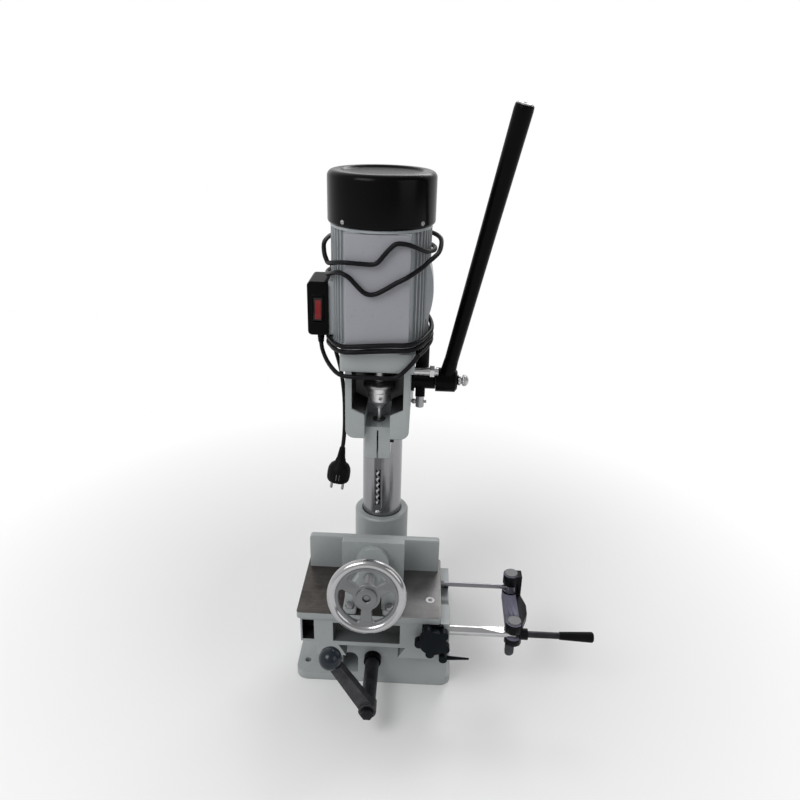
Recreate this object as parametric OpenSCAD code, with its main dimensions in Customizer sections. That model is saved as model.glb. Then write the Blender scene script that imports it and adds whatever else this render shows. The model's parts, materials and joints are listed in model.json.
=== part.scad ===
// Benchtop hollow-chisel mortiser with a cross-slide table, a screw vice and a rack-fed head.
// The column axis is the Z axis, the bench is at z = 0 and the operator stands at -Y.

/* [Base] */
// Width of the base plate
base_w = 276; // [268:1:300]
// Base plate in front of the column axis
base_front = 201; // [198:1:206]
// Base plate behind the column axis
base_back = 78; // [76:1:110]
// Thickness of the base plate
base_t = 15; // [12:1:18]
// Corner radius of the base plate
base_r = 20; // [10:1:26]
// Mounting holes in from the sides of the base plate
hole_edge = 18; // [15:0.5:24]
// Mounting hole spacing from front to back
hole_dy = 220; // [200:1:230]
// Centre of the hole pattern in front of the column axis
hole_fwd = 60; // [56:1:66]
// Diameter of the mounting holes
hole_d = 11; // [9:0.5:13]

/* [Column] */
// Column diameter
column_d = 72; // [66:1:74]
// Wall of the column tube
column_wall = 8; // [7:0.5:12]
// Height of the column top above the bench
column_top = 640; // [634:1:650]
// Outer diameter of the column socket
socket_d = 100; // [92:1:104]
// Height of the socket rim above the bench
socket_top = 243; // [200:1:246]
// Diameter of the socket flange
flange_d = 136; // [128:1:140]
// Thickness of the socket flange
flange_t = 14; // [10:1:18]

/* [Cross slide] */
// Height of the front-to-back ways above the bench
way_z = 83.7; // [80:0.1:86]
// Height of the dovetail on the front-to-back ways
way_h = 22; // [16:1:24]
// Half width of that dovetail at its neck
way_neck = 43.5; // [40:0.5:46]
// Front face of the saddle, in front of the column axis
saddle_front = 228; // [224:1:230]
// Depth of the saddle from front to back
saddle_depth = 152; // [140:1:153]
// Left and right faces of the saddle
saddle_left = 121; // [116:1:124]
saddle_right = 130; // [126:1:134]
// Height of the left saddle wing above the bench
wing_z = 112; // [108:1:114]
// Running clearance of the dovetail slides
way_gap = 0.35; // [0.3:0.05:0.5]
// Diameter of the front-to-back feed screw
feed_screw_d = 16; // [14:1:18]
// Height of that screw above the bench
feed_screw_z = 57; // [55:0.5:59]
// Length of the crank from its shaft to the ball
crank_len = 114; // [100:1:114]
// Diameter of the crank ball
crank_ball_d = 37; // [30:1:37]

/* [Table] */
// Width of the table
table_w = 242; // [230:1:250]
// Table front edge, in front of the column axis
table_front = 231; // [229:1:236]
// Table back edge, in front of the column axis
table_back = 66; // [65:1:70]
// Height of the table top above the bench
table_top = 174; // [172:0.5:178]
// Thickness of the table plate
table_t = 12; // [10:0.5:14]
// Half width of the table dovetail at its neck
slide_neck = 27; // [22:1:30]
// Height of the table dovetail
slide_h = 16; // [12:1:18]
// Height of the fence above the table
fence_h = 66; // [50:1:80]
// Fence face, in front of the column axis
fence_y = 104; // [100:1:106]

/* [Vice] */
// Handwheel diameter
wheel_d = 125; // [110:1:130]
// Thickness of the round rim of the handwheel
rim_d = 15; // [10:1:16]
// Slope of the vice screw, up towards the operator, in degrees
vice_tilt = 11; // [8:0.5:14]
// Diameter of the vice screw
vice_screw_d = 16; // [12:1:18]
// Width of the jaw
jaw_w = 108; // [90:1:116]
// Thickness of the jaw plate
jaw_t = 14; // [10:1:16]
// Top of the jaw above the bench
jaw_top = 262; // [256:1:262]

/* [Table lever] */
// Diameter of the bar that carries the table lever
bar_d = 17; // [14:1:18]
// Height of the bar above the bench
bar_z = 136; // [135:0.5:138]
// Distance between the two pins of the table lever
lever_arm = 85; // [80:1:90]
// Length of the table lever's handle from its pin
handle_len = 135; // [110:1:150]
// Swing of the table lever to each side, in degrees
swing = 25; // [15:1:27]

/* [Head] */
// Spindle axis, in front of the column axis
spindle_y = 119.5; // [117:0.5:122]
// Underside of the head casting
head_low = 470; // [466:1:474]
// Underside of the motor platform
deck_low = 590; // [588:1:594]
// Top of the motor platform
deck_top = 620; // [616:1:624]
// Width of the motor platform
deck_w = 112; // [108:1:118]
// Front of the motor platform
deck_front = 185; // [180:1:187]
// Width over the head's side walls
head_w = 100; // [98:1:106]
// Thickness of the side walls
head_wall = 10; // [8:0.5:12]
// Front of the head's side walls
head_front = 165; // [160:1:170]
// Outer diameter of the sleeve round the column
sleeve_d = 106; // [98:1:110]
// Running clearance of the sleeve on the column
sleeve_gap = 0.05; // [0.03:0.01:0.08]

/* [Rack feed] */
// Gear module of rack and pinion
gear_m = 2.25; // [2.25:0.25:2.25]
// Teeth on the pinion
gear_n = 24; // [22:1:24]
// Teeth on the rack
rack_n = 16; // [14:1:18]
// Width of the rack
rack_w = 16; // [12:1:18]
// Height of the pinion shaft above the bench
pinion_z = 534; // [530:1:538]
// Diameter of the pinion shaft
shaft_d = 18; // [14:1:20]
// Lean of the feed lever outwards, in degrees
lean_out = 10.5; // [6:0.5:14]
// Lean of the feed lever towards the operator at rest, in degrees
lean_fwd = 12; // [5:0.5:20]
// Length of the feed lever from the shaft
lever_len = 450; // [400:5:480]

/* [Motor] */
// Diameter of the motor body
motor_d = 140; // [130:1:144]
// Height of the motor body
motor_h = 180; // [170:1:190]
// Depth of the cooling fins
fin_d = 4; // [2:0.5:5]
// Diameter of the fan cover
cap_d = 157; // [154:1:162]
// Height of the fan cover
cap_h = 73; // [60:1:80]

/* [Tooling] */
// Width of the square chisel
chisel_w = 12.7; // [9.5:0.1:14]
// Height of the chisel tip above the bench
chisel_low = 310; // [300:1:330]
// Diameter of the chisel shank
shank_d = 19; // [18:0.5:20]
// Diameter of the chuck
chuck_d = 37; // [32:1:40]

/* [Cord] */
// Diameter of the cord
cord_d = 6.8; // [6:0.1:7]

/* [Hidden] */
$fn = 64;

run_gap = 0.06;                      // radial clearance of a shaft in its bearing
dove = tan(30);                      // side slope of the 60 degree dovetails
paint = [0.72, 0.74, 0.73];
steel = [0.75, 0.75, 0.77];
iron = [0.40, 0.38, 0.37];
black = [0.10, 0.10, 0.11];

// Base and column
hole_dx = base_w - 2 * hole_edge;    // mounting holes apart, across the machine
way_top = way_z + way_h;
way_half = way_neck + way_h * dove;
shoulder_half = way_half + 6;
ped_back = flange_d / 2 + 4;         // back end of the pedestal, in front of the column axis
trough_half = 20;
trough_floor = feed_screw_z - 17;
pad_t = 7;
socket_z = base_t + pad_t;
column_r = column_d / 2;
column_bore = column_r - column_wall;
socket_pcd = flange_d - 20;
bolt_r = 4.5;

// Rack and pinion
pitch_r = gear_m * gear_n / 2;
tooth_p = PI * gear_m;
tip_h = gear_m;
root_h = 1.25 * gear_m;
backlash = 0.16;
pinion_y = column_r + pitch_r;       // in front of the column axis
rack_floor = column_r - root_h - 2.2;
rack_low = pinion_z - (rack_n - 6) * tooth_p;
rack_high = pinion_z + 6 * tooth_p;
gear_half = rack_w / 2;
shaft_r = shaft_d / 2;

// Saddle and table
saddle_low = way_z + way_gap;
saddle_back = saddle_front - saddle_depth;
plate_low = table_top - table_t;
saddle_top = plate_low - way_gap;
table_x = -6;
slide_y = 150;                       // centre of the table dovetail
gib_t = 5;
bar_y = saddle_front - bar_d;
star_x = 103;
lock_x = 121;
lock_z = 97;
crank_y = 311;                       // crank plane
bearing_t = 12;
nut_len = 24;
nut_y = 138;

// Table lever linkage
lever_x = 239;
rear_y = bar_y - lever_arm;          // rear pin, in front of the column axis
sagitta = lever_arm * (1 - cos(swing));
rod_y = rear_y + sagitta / 2;
lag = lever_arm * (swing * PI / 180 - sin(swing));
rod_z0 = plate_low + table_t / 2;
rear_pin_r = 3;
front_pin_r = 4;
eye_gap = 0.35;
eye_r = rear_pin_r + lag + eye_gap;
eye_wall = 3.2;
eye_half = 6.5;
tongue_half = 5.2;

// Vice
vice_x = -5;
wheel_at = [vice_x, -281, 254];
rim_r = (wheel_d - rim_d) / 2;
jaw_face = 135;                      // in front of the column axis
jaw_low = table_top + 7;
jaw_s = -(281 - jaw_face - jaw_t) / cos(vice_tilt);
bracket_s = [-92, -64];
nut_boss_r = 19;

// Head
spindle = [0, -spindle_y, 0];
cavity_back = spindle_y - 22.5;
window_low = 514;
chuck_top = 545;
chuck_low = chuck_top - 40;
flange_r = 25.6;
holder_w = 40;
holder_front = 149.6;
holder_back = 92;
holder_low = 427;
holder_top = 483;
side_x = head_w / 2;
motor_low = deck_top;
motor_top = motor_low + motor_h;
panel_w = 92;
panel_front = 193.5;
panel_t = 5;
box_x = [-107, -motor_d / 2 - 6];
box_y = [-150, -90];
box_z = [634, 716];
rocker_at = [-91.5, -145, 674];
gland_at = [-92, -120, 622];
hub_x = [90, 126];
hub_r = 20;
lever_x0 = 107;
grip_from = 310;

// Cord: hand-chosen points of the free stretches, in order from the gland
cord_r = cord_d / 2;
lead_route = [[-92, -120, 622], [-92, -120, 614], [-89, -128, 603], [-80, -147, 593], [-68, -168, 587],
  [-55, -184, 584], [-38, -190, 584], [-5, -191, 584], [26, -191, 585], [42, -191, 597],
  [56, -191, 614]];
tail_route = [[-81, -81, 690], [-81, -81, 655], [-80, -82, 622], [-74, -90, 592], [-64, -102, 562],
  [-58, -110, 522], [-57, -111, 482], [-58, -110, 452], [-59.6, -110, 434], [-61, -110, 424]];
// Winding round the motor: distance of the cord from the motor axis at each bearing, 0 at the front
wrap_r = [[0, 79.5], [15, 82.3], [30, 91.6], [45, 88], [60, 82], [90, 79], [135, 78.5], [180, 77.8],
  [225, 78.9], [270, 79], [300, 82], [315, 88], [330, 91.6], [345, 82.3], [360, 79.5]];
// Winding as hand-chosen points: angle turned through, slack away from the motor, height
wrap_route = [[42, 4, 622], [66, 0, 625], [100, 0, 626], [140, 0, 626], [180, 0, 625.5], [225, 0, 624],
  [270, 0, 620], [300, 0, 622], [328, 0, 625], [350, 0, 627.5], [390, 0, 631.5], [420, 0, 633],
  [460, 0, 634], [500, 0, 634.5], [545, 0, 634], [590, 0, 631.8], [630, 0, 628], [660, 0, 630.5],
  [688, 0, 633.5], [715, 0, 637], [750, 0, 640], [780, 0, 642], [815, 0, 647], [850, 0, 661],
  [885, 0, 684], [920, 0, 706], [950, 0, 718], [980, 0, 725], [1008, 0, 727], [1028, 0, 735],
  [1044, 0.5, 741], [1054, 0.5, 736], [1066, 0, 716], [1079, 0, 714], [1098, 0, 730], [1116, 0, 745],
  [1136, 2, 755], [1156, 7, 763], [1176, 9, 776], [1200, 4, 780], [1235, 0, 780], [1275, 0, 777],
  [1315, 0, 775], [1350, 1, 774], [1369, 5, 769], [1376, 6, 758], [1383, 4, 749], [1396, 2, 753],
  [1412, 1, 757], [1436, 0, 755.5], [1446, 0, 768], [1457, 0, 784], [1470, 0, 783], [1490, 0, 771],
  [1516, 0, 766], [1555, 0, 764], [1595, 0, 761], [1635, 0, 756], [1662, 1, 748], [1678, 7, 736],
  [1684, 9.5, 720]];

// ---- helpers ----
module rod_x(x0, x1, r, y = 0, z = 0) {
  translate([x0, y, z]) rotate([0, 90, 0]) cylinder(h = x1 - x0, r = r);
}
module rod_y(y0, y1, r, x = 0, z = 0) {
  translate([x, y1, z]) rotate([90, 0, 0]) cylinder(h = y1 - y0, r = r);
}
module rod_z(z0, z1, r, x = 0, y = 0) {
  translate([x, y, z0]) cylinder(h = z1 - z0, r = r);
}
module box(x, y, z) {
  translate([x[0], y[0], z[0]]) cube([x[1] - x[0], y[1] - y[0], z[1] - z[0]]);
}
module along_x(x0, x1) {
  translate([x0, 0, 0]) rotate([90, 0, 90]) linear_extrude(x1 - x0) children();
}
module along_y(y0, y1) {
  translate([0, y1, 0]) rotate([90, 0, 0]) linear_extrude(y1 - y0) children();
}
module rounded(x, y, r) {
  translate([x[0] + r, y[0]]) square([x[1] - x[0] - 2 * r, y[1] - y[0]]);
  translate([x[0], y[0] + r]) square([x[1] - x[0], y[1] - y[0] - 2 * r]);
  for (cx = [x[0] + r, x[1] - r], cy = [y[0] + r, y[1] - r]) translate([cx, cy]) circle(r);
}
module hex_x(x0, x1, af, y, z) {
  translate([x0, y, z]) rotate([0, 90, 0]) cylinder(h = x1 - x0, r = af / sqrt(3), $fn = 6);
}
module hex_z(z0, z1, af, x, y) {
  translate([x, y, z0]) cylinder(h = z1 - z0, r = af / sqrt(3), $fn = 6);
}
function arc(c, r, a0, a1, n) = [for (i = [0:n]) let (a = a0 + (a1 - a0) * i / n)
  [c[0] + r * cos(a), c[1] + r * sin(a)]];

// Dovetail section that grows upwards from its neck at height 0
module dovetail(neck, tall, gap = 0, foot = 0, extra = 0) {
  top = neck + gap + (tall + gap) * dove;
  polygon([[-neck - gap, -foot], [-neck - gap, 0], [-top, tall + gap], [top + extra, tall + gap],
    [neck + gap + extra, 0], [neck + gap + extra, -foot]]);
}
module vice_frame() {
  translate(wheel_at) rotate([90 - vice_tilt, 0, 0]) children();
}
module lever_frame() {
  translate([lever_x0, -pinion_y, pinion_z]) rotate([lean_fwd, lean_out, 0]) children();
}

// ---- swept cord ----
function unit(v) = v / norm(v);
function heading(p, i) = unit(p[min(i + 1, len(p) - 1)] - p[max(i - 1, 0)]);
function spline(a, b, c, d, t) = 0.5 * (2 * b + (c - a) * t + (2 * a - 5 * b + 4 * c - d) * t * t
  + (3 * b - a - 3 * c + d) * t * t * t);
function smooth(p, n) = [for (i = [0:len(p) - 2], k = [0:n - 1])
  spline(p[max(i - 1, 0)], p[i], p[i + 1], p[min(i + 2, len(p) - 1)], k / n), p[len(p) - 1]];
function ring(c, t, ref, r, n) = let (u = unit(cross(t, ref)), v = cross(u, t))
  [for (k = [0:n - 1]) c + r * (cos(360 * k / n) * u + sin(360 * k / n) * v)];
function wrap_point(q) = let (w = q[0] % 360, r = lookup(w, wrap_r) + q[1])
  [r * sin(w), -spindle_y - r * cos(w), q[2]];
wrap_inner = [for (q = smooth(wrap_route, 2)) wrap_point(q)];
wrap_last = len(wrap_inner) - 1;
wrap_ends = [wrap_inner[0], wrap_inner[wrap_last]];
wrap_dirs = [unit(wrap_inner[1] - wrap_inner[0]),
  unit(wrap_inner[wrap_last] - wrap_inner[wrap_last - 1])];
wrap_path = concat([wrap_ends[0], wrap_ends[0] + cord_d * wrap_dirs[0]],
  [for (i = [2:wrap_last - 2]) wrap_inner[i]], [wrap_ends[1] - cord_d * wrap_dirs[1], wrap_ends[1]]);
lead_path = concat(smooth(lead_route, 2), [wrap_ends[0] - cord_d * wrap_dirs[0], wrap_ends[0]]);
tail_path = concat([wrap_ends[1], wrap_ends[1] + cord_d * wrap_dirs[1]], smooth(tail_route, 3));
loop_rings = 12;
function apart(p, i) = min([for (j = [i + loop_rings:len(p) - 1]) norm(p[i] - p[j])]);
least = min([for (i = [0:len(wrap_path) - loop_rings - 1]) apart(wrap_path, i)]);
function run_length(p) = [for (i = [0:len(p) - 2]) norm(p[i + 1] - p[i])] * [for (i = [0:len(p) - 2]) 1];
echo(str("least gap between turns of the cord ", least - cord_d));
echo(str("cord length ", run_length(lead_path) + run_length(wrap_path) + run_length(tail_path)));

module tube(path, r, n, ref) {
  last = len(path) - 1;
  points = [for (i = [0:last]) each ring(path[i], heading(path, i), ref, r, n)];
  side = [for (i = [0:last - 1], k = [0:n - 1]) let (a = i * n + k, b = i * n + (k + 1) % n)
    each [[a, b, a + n], [b, b + n, a + n]]];
  ends = [for (k = [1:n - 2]) each [[0, k + 1, k], [last * n, last * n + k, last * n + k + 1]]];
  polyhedron(points, concat(side, ends));
}

// ---- base ----
module base_casting() {
  color(paint) difference() {
    union() {
      linear_extrude(base_t)
        rounded([-base_w / 2, base_w / 2], [-base_front, base_back], base_r);
      along_y(-base_front, -ped_back) {
        polygon([[-shoulder_half - 12, base_t], [-shoulder_half, base_t + 12],
          [-shoulder_half, way_z], [shoulder_half, way_z], [shoulder_half, base_t]]);
        translate([0, way_z]) dovetail(way_neck, way_h);
      }
      // Front web under the right wing of the saddle, with a rib behind it
      box([0, saddle_right], [-base_front, -base_front + 12], [base_t, way_z]);
      along_x(88, 96) polygon([[-base_front + 6, base_t], [-base_front + 6, way_z - 6],
        [-base_front + 12, way_z - 6], [-ped_back - 20, base_t]]);
      rod_z(base_t, socket_z, flange_d / 2 + 2);
    }
    // Trough for the feed screw and the nut
    box([-trough_half, trough_half], [-base_front + 15, -ped_back - 14], [trough_floor, way_top + 1]);
    // Arched pocket beside the crank shaft
    along_y(-base_front - 1, -base_front + 50) {
      translate([-54, base_t + 7]) square([28, 30]);
      translate([-40, base_t + 37]) circle(14);
    }
    rod_y(-base_front - 1, -ped_back + 1, feed_screw_d / 2 + run_gap, 0, feed_screw_z);
    for (x = [-1, 1], y = [-1, 1])
      rod_z(-1, base_t + 1, hole_d / 2, x * hole_dx / 2, -hole_fwd + y * hole_dy / 2);
    for (a = [45:90:315]) rotate(a) rod_z(6, socket_z + 1, bolt_r, socket_pcd / 2);
  }
}
module column_socket() {
  color(paint) difference() {
    rotate_extrude() polygon([[column_r, socket_z], [flange_d / 2, socket_z],
      [flange_d / 2, socket_z + flange_t - 2], [flange_d / 2 - 2, socket_z + flange_t],
      [socket_d / 2 + 6, socket_z + flange_t], [socket_d / 2, socket_z + flange_t + 12],
      [socket_d / 2, socket_top - 3], [socket_d / 2 - 3, socket_top],
      [column_r + 2, socket_top], [column_r, socket_top - 2]]);
    for (a = [45:90:315]) rotate(a) rod_z(socket_z - 1, socket_z + flange_t + 1, bolt_r, socket_pcd / 2);
    // Spot faces for the bolt heads
    for (a = [45:90:315]) rotate(a)
      rod_z(socket_z + flange_t, socket_z + flange_t + 14, 9.5, socket_pcd / 2);
  }
}
module socket_bolts() {
  color(steel) for (a = [45:90:315]) rotate(a) {
    rod_z(8, socket_z + flange_t, bolt_r, socket_pcd / 2);
    hex_z(socket_z + flange_t, socket_z + flange_t + 6.5, 16, socket_pcd / 2, 0);
  }
}
module column() {
  color(steel) difference() {
    rotate_extrude() polygon([[column_bore, socket_z], [column_r, socket_z], [column_r, column_top - 1.5],
      [column_r - 1.5, column_top], [column_bore, column_top]]);
    box([-rack_w / 2, rack_w / 2], [-column_r - 1, -rack_floor], [rack_low, rack_high]);
  }
}
module column_cap() {
  color(black) {
    rod_z(column_top, column_top + 4, column_r - 0.5);
    rod_z(column_top - 10, column_top, column_bore - 0.05);
  }
}
// Rack with straight-sided 20 degree teeth, let into the front of the column
module rack() {
  pitch_half = tooth_p / 4 - backlash / 4;
  tip_half = pitch_half - tip_h * tan(20);
  root_half = pitch_half + root_h * tan(20);
  tip_y = -column_r - tip_h;
  root_y = -column_r + root_h;
  teeth = [for (i = [0:rack_n - 1]) let (z = rack_low + (i + 0.5) * tooth_p)
    each [[root_y, z - root_half], [tip_y, z - tip_half], [tip_y, z + tip_half], [root_y, z + root_half]]];
  color(steel) along_x(-rack_w / 2, rack_w / 2)
    polygon(concat([[-rack_floor, rack_low], [root_y, rack_low]], teeth,
      [[root_y, rack_high], [-rack_floor, rack_high]]));
}
module screw_bearing() {
  color(black) difference() {
    rod_y(-base_front - bearing_t, -base_front, 15, 0, feed_screw_z);
    rod_y(-base_front - bearing_t - 1, -base_front + 1, feed_screw_d / 2 + run_gap, 0, feed_screw_z);
  }
}

// ---- crank of the front-to-back feed ----
shaft_front = crank_y + 17;
module feed_screw() {
  color(iron) {
    rod_y(-base_front - bearing_t - 0.4, -ped_back - 4, feed_screw_d / 2, 0, feed_screw_z);
    rod_y(-crank_y + 11, -base_front - bearing_t - 0.4, 12, 0, feed_screw_z);
    rod_y(-shaft_front, -crank_y + 11, feed_screw_d / 2, 0, feed_screw_z);
  }
}
crank_turn = atan2(158 - feed_screw_z, -62);
crank_neck = crank_len - crank_ball_d / 2 + 1;
module crank_arm() {
  hub_w = 14.5;
  color([0.25, 0.26, 0.28]) translate([0, -crank_y, feed_screw_z]) rotate([0, -crank_turn, 0])
    difference() {
      union() {
        rod_y(-11, 11, hub_w);
        along_y(-7, 7) polygon([[0, -12.5], [crank_neck, -9.5], [crank_neck, 9.5], [0, 12.5]]);
      }
      rod_y(-12, 12, feed_screw_d / 2);
    }
}
module crank_ball() {
  color(black) translate([0, -crank_y, feed_screw_z]) rotate([0, -crank_turn, 0])
    difference() {
      translate([crank_len, 0, 0]) sphere(crank_ball_d / 2);
      translate([crank_neck - crank_ball_d, -20, -20]) cube([crank_ball_d, 40, 40]);
    }
}
module crank_nut() {
  color(steel) difference() {
    translate([0, -crank_y - 11, feed_screw_z]) rotate([90, 0, 0]) cylinder(h = 8, r = 10.6, $fn = 6);
    rod_y(-shaft_front, -crank_y, feed_screw_d / 2, 0, feed_screw_z);
  }
}

// ---- saddle ----
module slide_channel() {
  // Section of the channel for the table dovetail, seen along X
  mirror([0, 1]) dovetail(slide_neck, slide_h, way_gap, 1, gib_t);
}
module saddle() {
  color(paint) difference() {
    union() {
      box([-shoulder_half - 33, saddle_right], [-saddle_front, -saddle_back], [saddle_low, saddle_top]);
      box([-saddle_left, saddle_right], [-saddle_front, -saddle_back], [wing_z, saddle_top]);
    }
    along_y(-saddle_front - 1, -saddle_back + 1) translate([0, way_z]) dovetail(way_neck, way_h, way_gap, 1);
    along_x(-saddle_left - 1, saddle_right + 1) translate([-slide_y, plate_low]) slide_channel();
    // Recess in the front face
    box([-66, 47], [-saddle_front - 1, -saddle_front + 28], [way_top + way_gap + 8, saddle_top - 8]);
    // Pocket in the left wing
    box([-saddle_left + 3, -shoulder_half - 36], [-saddle_front - 1, -saddle_front + 34],
      [wing_z + 4, saddle_top - 4]);
    rod_x(bar_in, saddle_right + 1, bar_d / 2, -bar_y, bar_z);
    rod_y(-saddle_front - 1, -bar_y, 5 + run_gap, star_x, bar_z);
    rod_y(-saddle_front - 1, -saddle_front + 20, 4 + run_gap, lock_x, lock_z);
  }
}
module feed_nut() {
  color([0.72, 0.58, 0.30]) difference() {
    box([-15, 15], [-nut_y - nut_len / 2, -nut_y + nut_len / 2], [trough_floor + 2, way_top + way_gap]);
    rod_y(-nut_y - nut_len, -nut_y + nut_len, feed_screw_d / 2 + run_gap, 0, feed_screw_z);
  }
}
bar_in = 68;
taper_x = [lever_x - 54, lever_x - 24];
// Round bar that tapers to a flat eye for the lever's pin
module pivot_bar() {
  taper_h = bar_d / 2 - tongue_half;
  color(steel) difference() {
    intersection() {
      union() {
        rod_x(bar_in, lever_x, bar_d / 2, -bar_y, bar_z);
        rod_z(bar_z - tongue_half - 1, bar_z + tongue_half + 1, bar_d / 2, lever_x, -bar_y);
      }
      along_y(-bar_y - bar_d, -bar_y + bar_d) for (s = [-1, 1]) translate([0, bar_z])
        polygon([[bar_in - 1, 0], [bar_in - 1, s * bar_d], [taper_x[1] - (taper_x[1] - taper_x[0])
          * (bar_d - tongue_half) / taper_h, s * bar_d], [taper_x[1], s * tongue_half],
          [lever_x + bar_d, s * tongue_half], [lever_x + bar_d, 0]]);
    }
    rod_z(bar_z - 10, bar_z + 10, front_pin_r + run_gap, lever_x, -bar_y);
  }
}
module bar_bracket() {
  color(black) difference() {
    along_y(-saddle_front - 6, -saddle_front)
      rounded([star_x - 19, star_x + 17], [bar_z - 2, saddle_top], 4);
    along_y(-saddle_front - 7, -saddle_front + 1) {
      translate([star_x - 12.5, bar_z - 12]) square([25, 12]);
      translate([star_x, bar_z]) circle(12.5);
    }
  }
}
star_y = [saddle_front + 7, saddle_front + 21];
module star_knob() {
  lobes = 5;
  color(black) difference() {
    union() {
      translate([star_x, -star_y[0], bar_z]) rotate([90, 0, 0]) linear_extrude(star_y[1] - star_y[0]) {
        circle(23);
        for (i = [0:lobes - 1]) rotate(90 + 360 * i / lobes + 25) translate([23.5, 0]) circle(7.5);
      }
      rod_y(-star_y[0], -saddle_front - 0.5, 11, star_x, bar_z);
    }
    rod_y(-star_y[1] + 4, 0, 5, star_x, bar_z);
  }
}
module star_stud() {
  color(steel) rod_y(-star_y[1] + 4, -bar_y - bar_d / 2 - 0.3, 5, star_x, bar_z);
}
module lock_lever() {
  color(black) {
    rod_y(-saddle_front - 14, -saddle_front - 0.4, 7, lock_x, lock_z);
    rod_y(-saddle_front - 0.4, -saddle_front + 19, 4, lock_x, lock_z);
    translate([lock_x, -saddle_front - 8, lock_z]) rotate([0, 90, 0]) cylinder(h = 44, r1 = 4.2, r2 = 1.6);
  }
}

// ---- table ----
fence_bolts_x = [table_x - 84, table_x + 84];
bracket_bolts = [[vice_x - 33, -187], [vice_x + 33, -187], [vice_x - 33, -222], [vice_x + 33, -222]];
fence_foot = 10;
fence_t = 12;
fence_bolt_y = -fence_y + fence_t + 11;
module bolt_holes(low) {
  for (x = fence_bolts_x) rod_z(low, table_top + 30, 4, x, fence_bolt_y);
  for (p = bracket_bolts) rod_z(low, table_top + 30, 4, p[0], p[1]);
}
module table() {
  color(iron) difference() {
    union() {
      translate([0, 0, plate_low]) linear_extrude(table_t)
        rounded([table_x - table_w / 2, table_x + table_w / 2], [-table_front, -table_back], 6);
      along_x(table_x - table_w / 2 + 6, table_x + table_w / 2 - 6) translate([-slide_y, plate_low])
        mirror([0, 1]) dovetail(slide_neck, slide_h);
    }
    bolt_holes(plate_low + 2);
    rod_x(table_x + table_w / 2 - 22, table_x + table_w / 2 + 1, 4, -rod_y, rod_z0);
  }
}
module table_gib() {
  high = way_gap * dove;
  low = (slide_h + way_gap) * dove;
  color(iron) along_x(-saddle_left, saddle_right) translate([-slide_y + slide_neck + way_gap, plate_low])
    polygon([[high, -way_gap], [low, -slide_h - way_gap], [gib_t + low, -slide_h - way_gap],
      [gib_t + high, -way_gap]]);
}
module fence() {
  color(paint) difference() {
    union() {
      along_y(-fence_y, -fence_y + fence_t)
        rounded([table_x - 116, table_x + 116], [table_top, table_top + fence_h], 5);
      box([table_x - 116, table_x + 116], [-fence_y, -fence_y + fence_t], [table_top, table_top + 12]);
      box([table_x - 100, table_x + 100], [-fence_y + fence_t, -table_back - 3],
        [table_top, table_top + fence_foot]);
      for (x = [table_x - 60, table_x - 4, table_x + 52]) along_x(x, x + 8)
        polygon([[-fence_y + fence_t, table_top + fence_foot], [-table_back - 5, table_top + fence_foot],
          [-fence_y + fence_t, table_top + fence_h - 10]]);
    }
    bolt_holes(table_top - 1);
  }
}
module table_bolts() {
  color(steel) {
    for (x = fence_bolts_x) {
      rod_z(plate_low + 3, table_top + fence_foot, 4, x, fence_bolt_y);
      hex_z(table_top + fence_foot, table_top + fence_foot + 5.5, 13, x, fence_bolt_y);
    }
    for (p = bracket_bolts) {
      rod_z(plate_low + 3, table_top + fence_foot, 4, p[0], p[1]);
      hex_z(table_top + fence_foot, table_top + fence_foot + 5.5, 13, p[0], p[1]);
    }
  }
}
module vice_bracket() {
  nut = -(bracket_s[0] + bracket_s[1]) / 2;
  nut_y0 = wheel_at[1] + nut * cos(vice_tilt);
  nut_z0 = wheel_at[2] - nut * sin(vice_tilt);
  foot_top = table_top + fence_foot;
  color(paint) difference() {
    union() {
      for (s = [-1, 1]) translate([vice_x + s * 33, 0, table_top]) linear_extrude(fence_foot)
        rounded([-11, 11], [-229, -180], 4);
      along_y(nut_y0 - 9, nut_y0 + 9) polygon([for (q = [[-42, table_top], [-42, foot_top + 20],
        [-nut_boss_r, nut_z0], [nut_boss_r, nut_z0], [42, foot_top + 20], [42, table_top]])
        [vice_x + q[0], q[1]]]);
      vice_frame() rod_z(bracket_s[0], bracket_s[1], nut_boss_r);
    }
    along_y(-240, -170) {
      translate([vice_x - 19, table_top - 1]) square([38, foot_top + 12 - table_top]);
      translate([vice_x, foot_top + 11]) circle(19);
    }
    vice_frame() rod_z(bracket_s[0] - 20, bracket_s[1] + 20, vice_screw_d / 2 + run_gap);
    bolt_holes(table_top - 1);
  }
}
// Round rod from the table edge to the rear pin of the lever, with a slotted eye
module link_rod() {
  edge = table_x + table_w / 2;
  span = sagitta / 2;
  eye_w = eye_r + eye_wall;
  color(steel) difference() {
    union() {
      rod_x(edge - 20, lever_x - eye_r - 1.4, 4, -rod_y, rod_z0);
      hex_x(edge, edge + 6, 11.4, -rod_y, rod_z0);
      translate([lever_x, -rod_y, rod_z0 - eye_half]) linear_extrude(2 * eye_half)
        rounded([-eye_w, eye_w], [-eye_w - span, eye_w + span], 5);
    }
    translate([lever_x, -rod_y, rod_z0 - eye_half - 1]) linear_extrude(2 * eye_half + 2) {
      square([2 * eye_r, 2 * span], center = true);
      for (s = [-span, span]) translate([0, s]) circle(eye_r);
    }
  }
}

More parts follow.
